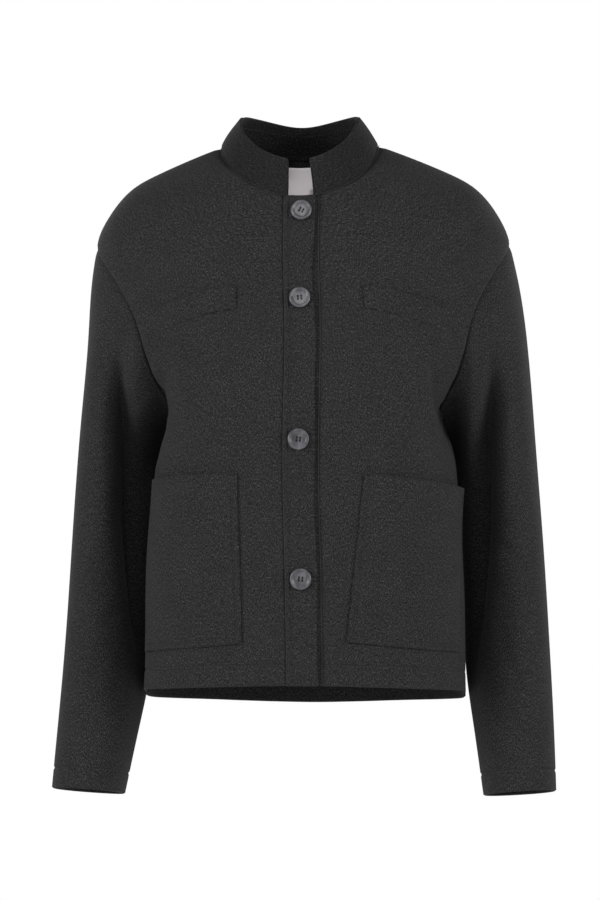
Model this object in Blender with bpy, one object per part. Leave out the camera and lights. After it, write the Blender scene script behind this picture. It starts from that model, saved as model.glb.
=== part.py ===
"""Boxy wool jacket with a stand collar, filled out as if worn but empty, one object for each cut piece.

The cloth is draped on a form: closed sections from hem to neck, read from a short table.
The front faces -Y and the wearer's left is +X.
The origin is at the neck, level with the tops of the shoulder seams.
"""

import math

import bpy
import numpy as np

MM = 0.001

# Cloth and seams, in millimetres
CLOTH = 1.6
SEAM_GAP = 0.3
SEAM_REACH = 0.003
PATCH_GAP = 0.7
HEM_TURN = 22.0
CUFF_TURN = 20.0

# The form: one row for each section, hem to neck, in millimetres
# height at the front, side and back; half width; depth in front and behind; squareness; how the height tilts
SECTION_COLUMNS = ("front_z", "side_z", "back_z", "half_width", "front", "back", "square", "tilt")
SECTIONS = {
    "hem": (-558, -575, -592, 169.0, 124, 114, 2.70, 0.65),
    "hip": (-498, -508, -520, 167.0, 125, 112, 2.60, 1.1),
    "waist": (-425, -430, -436, 164.5, 126, 110, 2.60, 1.6),
    "ribs": (-355, -355, -358, 158.5, 127, 110, 2.70, 2.0),
    "below_arm": (-322, -318, -321, 153.6, 126.5, 111, 2.85, 2.0),
    "underarm": (-295, -287, -290, 147.0, 126, 112, 3.00, 2.0),
    "chest": (-238, -200, -217, 194.0, 122, 113, 2.20, 2.0),
    "sleeve_top": (-184, -102, -142, 216.0, 113, 109, 2.15, 2.0),
    "drop": (-158, -76, -113, 204.5, 106, 104, 2.20, 1.9),
    "shoulder": (-125, -45, -78, 178.0, 97, 96, 2.20, 1.7),
    "yoke_low": (-100, -29, -51, 149.0, 89, 86, 2.15, 1.5),
    "yoke_high": (-79, -14, -28, 115.0, 82, 76, 2.15, 1.3),
    "neck": (-59, -1, -9, 83.0, 75, 66, 2.15, 1.15),
}
# Each section's row coordinate is its mean height, so that rows run evenly up the form
ROW = {name: sum(values[:3]) / 3 for name, values in SECTIONS.items()}

# The whole jacket leans a little to the wearer's left below the shoulders: height and shift, in millimetres
SWAY = (
    (-690, 0.3), (-590, 2.4), (-450, 3.5), (-300, 3.6), (-200, 4.0),
    (-102, 0.3), (-45, -0.5), (-5, -3.2), (40, -3.2),
)

# Soft folds of the body: where each starts and ends as seen from the front, half width and depth
FOLD_COLUMNS = ("start_x", "start_z", "end_x", "end_z", "half_width", "depth")
BODY_FOLDS = {
    "armpit_left": (150, -270, 146, -226, 14, 6.5),
    "armpit_right": (-150, -270, -146, -224, 14, 6.0),
    "side_drag_left": (152, -300, 112, -352, 20, 3.5),
    "side_drag_right": (-152, -296, -108, -340, 20, 3.5),
    "chest_hollow": (-52, -250, -66, -330, 30, 2.0),
}

# Armhole: how far it cuts into the front and the back, in degrees round the form
ARMHOLE_FRONT = 22.0
ARMHOLE_BACK = 20.0
ARMHOLE_STEPS = 12

# Columns of the panels, as shares of their width, closer towards the side edges
FRONT_SHARES = 1 - (1 - np.linspace(0, 1, 13)) ** 1.4
BACK_STEPS = np.linspace(0, 1, 23)
BACK_SHARES = 0.5 * BACK_STEPS + 0.25 * (1 - np.cos(math.pi * BACK_STEPS))
BACK_MIDDLE = len(BACK_SHARES) // 2

# Sleeve: one row for each ring, head to cuff, in millimetres, for the wearer's left
# outer point, inner point (next to the body), half depth, how far the front edge lifts above the middle
SLEEVE_COLUMNS = ("out_x", "out_y", "out_z", "in_x", "in_y", "in_z", "depth", "lift")
SLEEVE_RINGS = (
    (216.0, 4, -102, 147.0, 4, -287, 68, 0),
    (225.0, 6, -150, 150.0, 22, -296, 72, 0),
    (231.5, 9, -215, 152.0, 42, -312, 73, 0),
    (238.5, 13, -290, 156.0, 51, -345, 70, 0),
    (245.4, 18, -375, 159.8, 55, -405, 66, 1),
    (251.6, 20, -460, 162.6, 52, -475, 61, 3),
    (256.6, 15, -540, 166.8, 40, -548, 56, 6),
    (260.4, 6, -610, 177.5, 20, -615, 52, 7),
    (264.5, -4, -675, 189.0, 2, -681, 48, 7),
)
SLEEVE_SQUARE = 2.2
SLEEVE_STEPS = 20
HEAD_BLEND = 2.5

# Soft folds of the sleeves: ring and turn (in degrees from the outside, towards the front) at start and end
# with the half turn they spread over and their depth; a negative depth stands proud
SLEEVE_FOLD_COLUMNS = ("start_ring", "start_turn", "end_ring", "end_turn", "half_turn", "depth")
SLEEVE_FOLDS = {
    "inner_trough": (2.0, 90, 5.0, 138, 20, 26.0),
    "against_body": (1.0, 155, 4.0, 155, 16, 5.0),
    "behind_arm": (0.8, 200, 2.8, 200, 20, -6.0),
    "elbow_back": (4.2, 236, 5.4, 292, 16, 3.5),
    "upper_back": (1.4, 232, 3.4, 262, 18, 4.0),
}

# Collar: the top edge, which leans in from the neck seam
COLLAR_TOP = {"front_z": -21, "side_z": 29.5, "back_z": 22.5, "half_width": 61, "front": 62, "back": 58}
COLLAR_TOP_SQUARE = 2.5
COLLAR_TOP_TILT = {"front": 1.35, "back": 2.2}
COLLAR_CLOTH = 3.0
COLLAR_BULGE = 0.8
COLLAR_END_RIGHT = -13.0
COLLAR_END_LEFT = 16.0

# Front bands: the buttoning band lies over the under band; x at the chest, in millimetres
BAND_LEFT_EDGE = -15.5
BAND_RIGHT_EDGE = 15.5
BAND_DRIFT = {"hem": 2.8, "waist": 0.2, "ribs": -1.2, "underarm": -1.6, "sleeve_top": -0.5, "neck": 0.0}
BAND_PROUD = 1.5
BAND_CLOTH = 2.6
UNDER_BAND_EDGE = -13.0
UNDER_BAND_SEAM = 20.0
UNDER_BAND_STEP = 3.0
UNDER_BAND_SUNK = 1.5
UNDER_BAND_CLOTH = 2.3

# Buttons
BUTTONS = ((-75.5, 2.5), (-165.5, 0), (-309.0, 0), (-450.5, 0))
BUTTON_RADIUS = 10.8
BUTTON_THICK = 3.6
BUTTON_SIDES = 20

# Patch pockets, one row each: distance of the inner edge from the centre front at the top and bottom,
# heights of the inner and outer top corners, fall from top to bottom at the inner and outer edge,
# how far the mouth stands off in the middle and at its outer corner
POCKET_COLUMNS = (
    "side", "inner_top", "inner_bottom", "top_in", "top_out", "fall_in", "fall_out", "gape", "corner"
)
POCKETS = {
    "pocket_right": (-1, 65, 60, -344, -352, 172, 177, 3.0, 0.0),
    "pocket_left": (1, 66, 48, -344, -361, 170, 167, 4.0, 7.0),
}
POCKET_WIDTH = 136.0
POCKET_CLOTH = 1.8

# Chest welts
WELT_INNER = 66.0
WELT_LENGTH = 92.0
WELT_TOP_INNER = -153.5
WELT_TOP_OUTER = -178.0
WELT_HEIGHT = 23.0
WELT_CLOTH = 2.0

# Inside: back neck facing, back lining and neck label
FACING_CLOTH = 1.2
FACING_ROWS = 4
LINING_CLOTH = 0.8
INSIDE_GAP = 0.4
LABEL_COLUMNS = 2
LABEL_DROP = 7.5
LABEL_HEIGHT = 40.0
LABEL_CLOTH = 0.6

WOOL = ((0.030, 0.030, 0.031, 1), 0.95)
WOOL_INSIDE = ((0.024, 0.024, 0.025, 1), 0.95)
LINING = ((0.008, 0.009, 0.013, 1), 0.45)
HORN = ((0.120, 0.118, 0.125, 1), 0.42)
LABEL_CLOTH_COLOUR = ((0.40, 0.36, 0.38, 1), 0.55)


def spline(knots, values):
    """A natural cubic spline through values at rising knots."""
    x, y = np.asarray(knots, float), np.asarray(values, float)
    count = len(y)
    step = np.diff(x)
    slope = np.diff(y) / step
    system = np.eye(count)
    bend = np.zeros(count)
    for i in range(1, count - 1):
        system[i, i - 1 : i + 2] = step[i - 1], 2 * (step[i - 1] + step[i]), step[i]
        bend[i] = 6 * (slope[i] - slope[i - 1])
    second = np.linalg.solve(system, bend)

    def at(position):
        position = np.clip(np.asarray(position, float), x[0], x[-1])
        k = np.clip(np.searchsorted(x, position, side="right") - 1, 0, count - 2)
        f = (position - x[k]) / step[k]
        g = 1 - f
        curve = ((g**3 - g) * second[k] + (f**3 - f) * second[k + 1]) * step[k] ** 2 / 6
        return g * y[k] + f * y[k + 1] + curve

    return at


SECTION = {
    name: spline(list(ROW.values()), column) for name, column in zip(SECTION_COLUMNS, zip(*SECTIONS.values()))
}
BAND_CENTRE = spline([ROW[name] for name in BAND_DRIFT], list(BAND_DRIFT.values()))
SWAY_AT = spline(*zip(*SWAY))
SLEEVE = {
    name: spline(range(len(SLEEVE_RINGS)), column) for name, column in zip(SLEEVE_COLUMNS, zip(*SLEEVE_RINGS))
}


def ring_point(theta, half_width, front, back, front_z, side_z, back_z, square, tilt):
    """A point of one closed section; theta is 0 at centre front and a quarter turn at the wearer's left."""
    c, s = np.cos(theta), np.sin(theta)
    ahead = c >= 0
    depth = np.where(ahead, front, back)
    reach = ((np.abs(c) / depth) ** square + (np.abs(s) / half_width) ** square) ** (-1 / square)
    end_z = np.where(ahead, front_z, back_z)
    z = side_z + (end_z - side_z) * np.abs(c) ** tilt
    return np.stack([reach * s, -reach * c, z], axis=-1)


def form(theta, row):
    """A point on the outside of the body of the jacket, by angle and by section row."""
    theta, row = np.broadcast_arrays(np.asarray(theta, float), np.asarray(row, float))
    point = ring_point(theta, **{name: SECTION[name](row) for name in SECTION_COLUMNS})
    pressed = np.zeros(theta.shape)
    for values in BODY_FOLDS.values():
        fold = dict(zip(FOLD_COLUMNS, values))
        start = np.array([fold["start_x"], fold["start_z"]])
        run = np.array([fold["end_x"], fold["end_z"]]) - start
        away = point[..., [0, 2]] - start
        share = np.clip(away @ run / (run @ run), 0, 1)
        distance = np.linalg.norm(away - share[..., None] * run, axis=-1)
        fade = np.sin(math.pi * (0.2 + 0.6 * share))
        pressed = pressed + fold["depth"] * fade * np.exp(-((distance / fold["half_width"]) ** 2))
    inward = np.stack([-np.sin(theta), np.cos(theta), 0 * theta], axis=-1)
    in_front = np.clip(np.cos(theta) * 8, 0, 1)
    return point + (pressed * in_front)[..., None] * inward


def form_normal(theta, row):
    """The outward direction of the form; beside the side and shoulder seams it is the mean of both sides."""
    turn, climb = 1e-3, 0.05
    row = np.clip(row, ROW["hem"] + climb, ROW["neck"] - climb)
    quarter = np.round(np.asarray(theta) / (math.pi / 2)) * (math.pi / 2)
    theta = np.where(np.abs(theta - quarter) < SEAM_REACH, quarter, theta)
    along = form(theta, row + climb) - form(theta, row - climb)
    around = form(theta + turn, row) - form(theta - turn, row)
    normal = np.cross(around, along)
    return normal / np.linalg.norm(normal, axis=-1, keepdims=True)


def lifted(theta, row, lift):
    """A point of the form moved out by lift, in millimetres; a negative lift goes inside."""
    return form(theta, row) + np.asarray(lift)[..., None] * form_normal(theta, row)


def theta_at_x(x, row):
    """The angle on the front half where the section has this x."""
    x, row = np.broadcast_arrays(np.asarray(x, float), np.asarray(row, float))
    theta = np.zeros_like(x)
    for _ in range(12):
        point = form(theta, row)
        theta = np.arcsin(np.clip(x / np.hypot(point[..., 0], point[..., 1]), -1, 1))
    return theta


def row_at_height(theta, z):
    """The section row where the form has this height, from hem to neck, by halving."""
    theta, z = np.broadcast_arrays(np.asarray(theta, float), np.asarray(z, float))
    low = np.full_like(theta, ROW["hem"])
    high = np.full_like(theta, ROW["neck"])
    for _ in range(40):
        middle = (low + high) / 2
        below = form(theta, middle)[..., 2] < z
        low = np.where(below, middle, low)
        high = np.where(below, high, middle)
    return (low + high) / 2


LEVEL_ANGLES = np.radians(np.arange(0, 116, 1.0))


def on_level(distance, z):
    """Angle and row of the point this far round the wearer's left half from the centre front at height z."""
    rows = row_at_height(LEVEL_ANGLES, z)
    points = form(LEVEL_ANGLES, rows)
    lengths = np.concatenate([[0], np.cumsum(np.linalg.norm(np.diff(points, axis=0), axis=1))])
    theta = np.interp(distance, lengths, LEVEL_ANGLES)
    return theta, row_at_height(theta, z)


def armhole_fall(turn):
    """How far down the armhole a turn lies: 0 at the shoulder, 1 at the slightly pointed underarm."""
    turn = np.arccos(np.cos(turn))
    return (1 - np.cos(turn)) / 4 + turn / (2 * math.pi)


def armhole(turn, front=True):
    """Angle and row on the armhole's edge; turn is 0 at the shoulder and half a turn at the underarm."""
    cut = math.radians(ARMHOLE_FRONT if front else -ARMHOLE_BACK)
    row = ROW["sleeve_top"] + (ROW["underarm"] - ROW["sleeve_top"]) * armhole_fall(turn)
    return math.pi / 2 - cut * np.sin(turn), row


def material(name, colour, roughness):
    made = bpy.data.materials.get(name) or bpy.data.materials.new(name)
    made.use_nodes = True
    shader = made.node_tree.nodes["Principled BSDF"]
    shader.inputs["Base Color"].default_value = colour
    shader.inputs["Roughness"].default_value = roughness
    shader.inputs["Metallic"].default_value = 0
    return made


def wall(name, outer, inner, finish, closed=False):
    """A closed piece of cloth between two grids of points; closed joins the last column to the first."""
    outer, inner = np.asarray(outer), np.asarray(inner)
    rows, columns = outer.shape[:2]
    count = rows * columns
    spans = columns if closed else columns - 1

    def at(i, j, under=False):
        return i * columns + j % columns + (count if under else 0)

    faces = []
    for i in range(rows - 1):
        for j in range(spans):
            faces.append((at(i, j), at(i, j + 1), at(i + 1, j + 1), at(i + 1, j)))
            faces.append((at(i, j, True), at(i + 1, j, True), at(i + 1, j + 1, True), at(i, j + 1, True)))
    for i, turn in ((0, False), (rows - 1, True)):
        for j in range(spans):
            rim = (at(i, j), at(i, j, True), at(i, j + 1, True), at(i, j + 1))
            faces.append(rim[::-1] if turn else rim)
    if not closed:
        for j, turn in ((0, True), (columns - 1, False)):
            for i in range(rows - 1):
                rim = (at(i, j), at(i, j, True), at(i + 1, j, True), at(i + 1, j))
                faces.append(rim[::-1] if turn else rim)
    points = np.concatenate([outer.reshape(-1, 3), inner.reshape(-1, 3)]) * MM
    return solid(name, points, faces, finish)


def solid(name, points, faces, finish):
    """An object from points in metres and faces, leant with the jacket, facing out and shaded smooth."""
    points = np.array(points)
    points[:, 0] += SWAY_AT(points[:, 2] / MM) * MM
    corners = points[np.array([(f[0], f[k], f[k + 1]) for f in faces for k in range(1, len(f) - 1)])]
    if np.einsum("ij,ij->i", corners[:, 0], np.cross(corners[:, 1], corners[:, 2])).sum() < 0:
        faces = [face[::-1] for face in faces]
    mesh = bpy.data.meshes.new(name)
    mesh.from_pydata(points.tolist(), [], faces)
    mesh.materials.append(material(*finish))
    mesh.shade_smooth()
    mesh.set_sharp_from_angle(angle=math.radians(40))
    made = bpy.data.objects.new(name, mesh)
    bpy.context.scene.collection.objects.link(made)
    return made


WOOL_FINISH = ("wool", *WOOL)


def panel_rows():
    """Section rows of a body panel, hem to neck, closest where the hem is turned and round the armhole."""
    turn = ROW["hem"] + HEM_TURN
    body = [ROW["hem"], turn, turn + 1.5, *np.linspace(turn + 27, ROW["underarm"], 9)[:-1]]
    round_arm = [armhole(math.pi * (1 - k / ARMHOLE_STEPS))[1] for k in range(ARMHOLE_STEPS + 1)]
    yoke = np.linspace(ROW["sleeve_top"], ROW["neck"], 8)[1:]
    return np.array([*body, *round_arm, *yoke]), turn


def panel_edge(rows, front):
    """The angle of a panel's outer edge at each row: side seam, armhole, then shoulder seam."""
    fall = (rows - ROW["sleeve_top"]) / (ROW["underarm"] - ROW["sleeve_top"])
    turns = np.linspace(0, math.pi, 721)
    turn = np.interp(fall, armhole_fall(turns), turns)
    edge = armhole(turn, front)[0]
    speed = np.linalg.norm(form(edge + 1e-3, rows) - form(edge - 1e-3, rows), axis=-1) / 2e-3
    gap = SEAM_GAP / 2 / speed
    return edge - gap if front else edge + gap


def cloth_thickness(rows, turn):
    """The wall at each row: the hem is turned up inside, so it is double there."""
    return np.where(rows <= turn + 0.1, 2 * CLOTH, CLOTH)


def band_centre(row):
    """How far the front bands drift towards the wearer's left of the centre."""
    return BAND_CENTRE(row)


def across(start, end, shares):
    """Angles between a start and an end given for every row, at each share of the width."""
    return start[:, None] * (1 - shares) + end[:, None] * shares


def body_panel(name, inner_edge, outer_edge, shares):
    """A panel of the body between two angles given for every row."""
    rows, turn = panel_rows()
    theta = across(inner_edge, outer_edge, shares)
    grid_rows = np.repeat(rows[:, None], len(shares), axis=1)
    thick = np.repeat(cloth_thickness(rows, turn)[:, None], len(shares), axis=1)
    return wall(name, form(theta, grid_rows), lifted(theta, grid_rows, -thick), WOOL_FINISH)


def panel_edges(rows):
    """The angles of the front seams and of the side edges of the panels at each row."""
    return {
        "right_seam": theta_at_x(band_centre(rows) + BAND_LEFT_EDGE - SEAM_GAP, rows),
        "left_seam": theta_at_x(band_centre(rows) + UNDER_BAND_SEAM + SEAM_GAP, rows),
        "front": panel_edge(rows, True),
        "back": panel_edge(rows, False),
    }


def fronts_and_back():
    rows, _ = panel_rows()
    edge = panel_edges(rows)
    body_panel("front_right", edge["right_seam"], -edge["front"], FRONT_SHARES)
    body_panel("front_left", edge["left_seam"], edge["front"], FRONT_SHARES)
    body_panel("back", edge["back"], 2 * math.pi - edge["back"], BACK_SHARES)


def sleeve_points(turn, ring):
    """A point on the outside of the wearer's left sleeve; turn is 0 at the outside and a quarter in front."""
    turn, ring = np.broadcast_arrays(np.asarray(turn, float), np.asarray(ring, float))
    value = {name: SLEEVE[name](ring)[..., None] for name in SLEEVE_COLUMNS}
    outside = np.concatenate([value["out_x"], value["out_y"], value["out_z"]], axis=-1)
    inside = np.concatenate([value["in_x"], value["in_y"], value["in_z"]], axis=-1)
    c, s = np.cos(turn)[..., None], np.sin(turn)[..., None]
    reach = (np.abs(c) ** SLEEVE_SQUARE + np.abs(s) ** SLEEVE_SQUARE) ** (-1 / SLEEVE_SQUARE)
    ahead = np.concatenate([0 * value["depth"], -value["depth"], value["lift"]], axis=-1)
    spoke = (outside - inside) / 2 * reach * c + ahead * reach * s
    pressed = np.zeros(turn.shape)
    for values in SLEEVE_FOLDS.values():
        fold = dict(zip(SLEEVE_FOLD_COLUMNS, values))
        share = (ring - fold["start_ring"]) / (fold["end_ring"] - fold["start_ring"])
        middle = np.radians(fold["start_turn"] + (fold["end_turn"] - fold["start_turn"]) * share)
        off = np.angle(np.exp(1j * (turn - middle))) / math.radians(fold["half_turn"])
        fade = np.sin(math.pi * np.clip(0.5 * (share + 0.5), 0, 1)) ** 2
        pressed = pressed + fold["depth"] * fade * np.exp(-(off**2))
    length = np.linalg.norm(spoke, axis=-1, keepdims=True)
    return (outside + inside) / 2 + spoke * (1 - pressed[..., None] / length)


def armhole_loop(turn):
    """The armhole's edge at the wearer's left, moved a seam's gap out of the panels."""
    front = np.sin(turn) >= 0
    theta = np.where(front, armhole(turn, True)[0], armhole(-turn, False)[0])
    row = armhole(turn)[1]
    edge = form(theta, row)
    normal = form_normal(theta, row)
    around = np.roll(edge, -1, axis=0) - np.roll(edge, 1, axis=0)
    away = np.cross(around, normal)
    away /= np.linalg.norm(away, axis=-1, keepdims=True)
    centre = edge.mean(axis=0)
    away *= np.sign(np.einsum("ij,ij->i", away, centre - edge))[:, None]
    return edge + SEAM_GAP * (away + normal), normal


def sleeve(name, side):
    turns = np.radians(np.arange(0, 360, 180 / ARMHOLE_STEPS))
    last = len(SLEEVE_RINGS) - 1
    cuff_rows = CUFF_TURN / (SLEEVE_RINGS[-2][2] - SLEEVE_RINGS[-1][2])
    rings = [*(np.linspace(0, 1, SLEEVE_STEPS) ** 1.15 * (last - cuff_rows - 0.03)), last - cuff_rows, last]
    loop, panel_normal = armhole_loop(turns)
    head = loop - sleeve_points(turns, 0)
    outer = []
    for ring in rings:
        fade = np.clip(1 - ring / HEAD_BLEND, 0, 1)
        outer.append(sleeve_points(turns, ring) + head * fade**2 * (3 - 2 * fade))
    outer = np.array(outer)
    along = np.gradient(outer, axis=0)
    around = np.roll(outer, -1, axis=1) - np.roll(outer, 1, axis=1)
    normal = np.cross(around, along)
    normal /= np.linalg.norm(normal, axis=-1, keepdims=True)
    normal *= np.sign(np.einsum("ijk,ijk->ij", normal, outer - outer.mean(axis=1, keepdims=True)).sum())
    fold = (1 - np.cos(turns)) / 2
    normal[0] = panel_normal + fold[:, None] * normal[0]
    normal[0] /= np.linalg.norm(normal[0], axis=-1, keepdims=True)
    thick = np.full(len(rings), CLOTH)
    thick[-2:] = 2 * CLOTH
    inner = outer - thick[:, None, None] * normal
    mirror = np.array([side, 1, 1])
    return wall(name, outer * mirror, inner * mirror, WOOL_FINISH, closed=True)


def collar():
    top = COLLAR_TOP
    full = 2 * math.pi
    edge = panel_edges(np.array([ROW["neck"]]))
    start = theta_at_x(COLLAR_END_LEFT, ROW["neck"])
    end = full + theta_at_x(COLLAR_END_RIGHT, ROW["neck"])
    left = across(edge["left_seam"], edge["front"], FRONT_SHARES)[0]
    rear = across(edge["back"], full - edge["back"], BACK_SHARES)[0, 1:-1]
    right = across(full - edge["front"], full + edge["right_seam"], FRONT_SHARES)[0]
    theta = np.array([start, *left, *rear, *right, end])
    seam_normal = form_normal(theta, ROW["neck"])
    rise = form(theta, ROW["neck"]) - form(theta, ROW["neck"] - 0.05)
    rise /= np.linalg.norm(rise, axis=-1, keepdims=True)
    base = form(theta, ROW["neck"]) + SEAM_GAP * rise
    tilt = np.where(np.cos(theta) >= 0, COLLAR_TOP_TILT["front"], COLLAR_TOP_TILT["back"])
    high = ring_point(theta, square=COLLAR_TOP_SQUARE, tilt=tilt, **top)
    outer = []
    for share in (0, 0.35, 0.7, 1):
        level = base * (1 - share) + high * share
        out = level * [1, 1, 0]
        out /= np.linalg.norm(out, axis=-1, keepdims=True)
        outer.append(level - out * COLLAR_BULGE * math.sin(math.pi * share))
    outer = np.array(outer)
    normal = np.cross(np.gradient(outer, axis=1), np.gradient(outer, axis=0))
    normal /= np.linalg.norm(normal, axis=-1, keepdims=True)
    normal[0] = seam_normal
    wall("collar", outer, outer - COLLAR_CLOTH * normal, WOOL_FINISH)


def band_grid(edges):
    """Angles and rows of a front band from hem to neck for x offsets across it."""
    rows = np.linspace(ROW["hem"], ROW["neck"], 27)
    x = np.asarray(edges)[None, :] + band_centre(rows)[:, None]
    grid_rows = np.repeat(rows[:, None], len(edges), axis=1)
    return theta_at_x(x, grid_rows), grid_rows


def bands():
    theta, rows = band_grid(np.linspace(BAND_LEFT_EDGE, BAND_RIGHT_EDGE, 4))
    proud = np.full(theta.shape, BAND_PROUD)
    wall("band_over", lifted(theta, rows, proud), lifted(theta, rows, proud - BAND_CLOTH), WOOL_FINISH)
    step = BAND_RIGHT_EDGE + 1
    edges = (UNDER_BAND_EDGE, 0.0, step, step + UNDER_BAND_STEP, UNDER_BAND_SEAM)
    theta, rows = band_grid(edges)
    sunk = np.repeat(np.array([[-UNDER_BAND_SUNK] * 3 + [0, 0]]), len(theta), axis=0)
    wall("band_under", lifted(theta, rows, sunk), lifted(theta, rows, sunk - UNDER_BAND_CLOTH), WOOL_FINISH)


def button_profile():
    """Radius and height of a turned button: flat back, round rim, dished face."""
    rim, thick = BUTTON_RADIUS, BUTTON_THICK
    return (
        (rim * 0.80, 0.0),
        (rim * 0.97, thick * 0.30),
        (rim, thick * 0.62),
        (rim * 0.93, thick * 0.96),
        (rim * 0.84, thick),
        (rim * 0.74, thick * 0.72),
        (rim * 0.45, thick * 0.58),
    )


def buttons():
    for number, (height, aside) in enumerate(BUTTONS, 1):
        row = row_at_height(0.0, height)
        centre_x = float(band_centre(row)) + 0.5 * (BAND_LEFT_EDGE + BAND_RIGHT_EDGE) + aside
        theta = theta_at_x(centre_x, row)
        axis = form_normal(theta, row)
        centre = lifted(theta, row, BAND_PROUD + SEAM_GAP)
        across = np.cross([0, 0, 1], axis)
        across /= np.linalg.norm(across)
        up = np.cross(axis, across)
        turns = np.linspace(0, 2 * math.pi, BUTTON_SIDES, endpoint=False)
        spokes = np.cos(turns)[:, None] * across + np.sin(turns)[:, None] * up
        profile = button_profile()
        points = np.concatenate([centre + radius * spokes + high * axis for radius, high in profile])
        faces = [tuple(range(BUTTON_SIDES))[::-1]]
        for k in range(len(profile) - 1):
            for j in range(BUTTON_SIDES):
                low, next_low = k * BUTTON_SIDES + j, k * BUTTON_SIDES + (j + 1) % BUTTON_SIDES
                faces.append((low, next_low, next_low + BUTTON_SIDES, low + BUTTON_SIDES))
        face_start = (len(profile) - 1) * BUTTON_SIDES
        faces.append(tuple(range(face_start, face_start + BUTTON_SIDES)))
        solid(f"button_{number}", points * MM, faces, ("horn", *HORN))


def patch(name, side, distance, height, lift, cloth):
    """A piece lying on a front panel, from grids of distance round from the centre front and of height."""
    theta, row = np.vectorize(on_level)(distance, height)
    theta = theta * side
    return wall(name, lifted(theta, row, lift + cloth), lifted(theta, row, lift), WOOL_FINISH)


def pockets():
    along = np.linspace(0, 1, 14)[None, :]
    down = np.array([0, 0.06, 0.2, 0.4, 0.6, 0.8, 0.94, 1])[:, None]
    for name, values in POCKETS.items():
        pocket = dict(zip(POCKET_COLUMNS, values))
        inner = pocket["inner_top"] + (pocket["inner_bottom"] - pocket["inner_top"]) * down
        distance = inner + POCKET_WIDTH * along
        top = pocket["top_in"] + (pocket["top_out"] - pocket["top_in"]) * along
        fall = pocket["fall_in"] + (pocket["fall_out"] - pocket["fall_in"]) * along
        height = top - fall * down
        fullness = np.sin(np.pi * along) ** 0.7 * (1 - down**3)
        lift = PATCH_GAP + pocket["gape"] * fullness + pocket["corner"] * along**4 * (1 - down) ** 3
        patch(name, pocket["side"], distance, height, lift, POCKET_CLOTH)


def welts():
    along = np.linspace(0, 1, 9)[None, :]
    down = np.array([0, 0.5, 1])[:, None]
    for name, side in (("welt_right", -1), ("welt_left", 1)):
        distance = WELT_INNER + WELT_LENGTH * along + 0 * down
        height = WELT_TOP_INNER + (WELT_TOP_OUTER - WELT_TOP_INNER) * along**1.5 - WELT_HEIGHT * down
        patch(name, side, distance, height, np.full(distance.shape, PATCH_GAP), WELT_CLOTH)


def behind(name, rows, columns, depth, cloth, finish):
    """A piece inside the back, on the back's own columns, from depth inwards."""
    edge = panel_edge(rows, False)
    theta = across(edge, 2 * math.pi - edge, BACK_SHARES[columns])
    grid_rows = np.repeat(rows[:, None], theta.shape[1], axis=1)
    outside = np.full(theta.shape, -depth)
    return wall(name, lifted(theta, grid_rows, outside), lifted(theta, grid_rows, outside - cloth), finish)


def inside_pieces():
    """Back neck facing, back lining down to the turned hem, and the neck label on the facing."""
    rows, turn = panel_rows()
    depth = CLOTH + INSIDE_GAP
    whole = slice(1, -1)
    facing_rows = rows[-FACING_ROWS:]
    behind("facing_back_neck", facing_rows, whole, depth, FACING_CLOTH, ("wool_inside", *WOOL_INSIDE))
    lining_rows = rows[(rows > turn + 1) & (rows < facing_rows[0] - 4)]
    lining_rows = np.append(lining_rows, facing_rows[0] - 1)
    behind("lining_back", lining_rows, whole, depth, LINING_CLOTH, ("lining", *LINING))
    label_top = SECTIONS["neck"][2] - LABEL_DROP
    label_rows = row_at_height(math.pi, np.linspace(label_top - LABEL_HEIGHT, label_top, 5))
    middle = slice(BACK_MIDDLE - LABEL_COLUMNS, BACK_MIDDLE + LABEL_COLUMNS + 1)
    depth += FACING_CLOTH + INSIDE_GAP
    behind("label", label_rows, middle, depth, LABEL_CLOTH, ("label", *LABEL_CLOTH_COLOUR))


def main():
    for old in list(bpy.data.objects):
        bpy.data.objects.remove(old, do_unlink=True)
    fronts_and_back()
    sleeve("sleeve_left", 1)
    sleeve("sleeve_right", -1)
    collar()
    bands()
    buttons()
    pockets()
    welts()
    inside_pieces()


main()
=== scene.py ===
"""The wool jacket dressed for its picture: shells on the part's own form, stitching, buttons and light.

Lengths in the tables are millimetres, in the part's frame: the front faces -Y and the wearer's left is +X.
"""

import math

import bpy
import numpy as np
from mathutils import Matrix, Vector


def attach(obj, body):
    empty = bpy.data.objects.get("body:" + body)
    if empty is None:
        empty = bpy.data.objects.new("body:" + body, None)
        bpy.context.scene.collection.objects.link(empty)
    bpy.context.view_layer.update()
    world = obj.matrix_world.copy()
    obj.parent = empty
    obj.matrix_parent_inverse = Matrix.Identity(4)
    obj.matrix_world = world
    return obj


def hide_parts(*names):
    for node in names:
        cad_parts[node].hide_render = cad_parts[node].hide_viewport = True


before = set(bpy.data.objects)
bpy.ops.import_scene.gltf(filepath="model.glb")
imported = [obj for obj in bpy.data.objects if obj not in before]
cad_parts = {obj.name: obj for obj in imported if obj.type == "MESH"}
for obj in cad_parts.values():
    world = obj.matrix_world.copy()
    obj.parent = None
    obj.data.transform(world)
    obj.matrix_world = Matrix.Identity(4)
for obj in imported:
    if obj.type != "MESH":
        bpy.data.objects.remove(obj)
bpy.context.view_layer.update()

MM = 0.001

# Cloth and seams
CLOTH = 1.6
SEAM_GAP = 0.3
HEM_TURN = 22.0
CUFF_TURN = 20.0
# How far a seam and a row of stitches draw the cloth in, and how far to each side
SEAM_PINCH = 1.5
SEAM_PINCH_REACH = 2.2
STITCH_DIP = 1.3
STITCH_DIP_REACH = 1.2
# How far the sleeve steps down at the armhole seam, and over what share of a ring
HEAD_STEP = 2.4
HEAD_STEP_RINGS = 0.14

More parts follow.
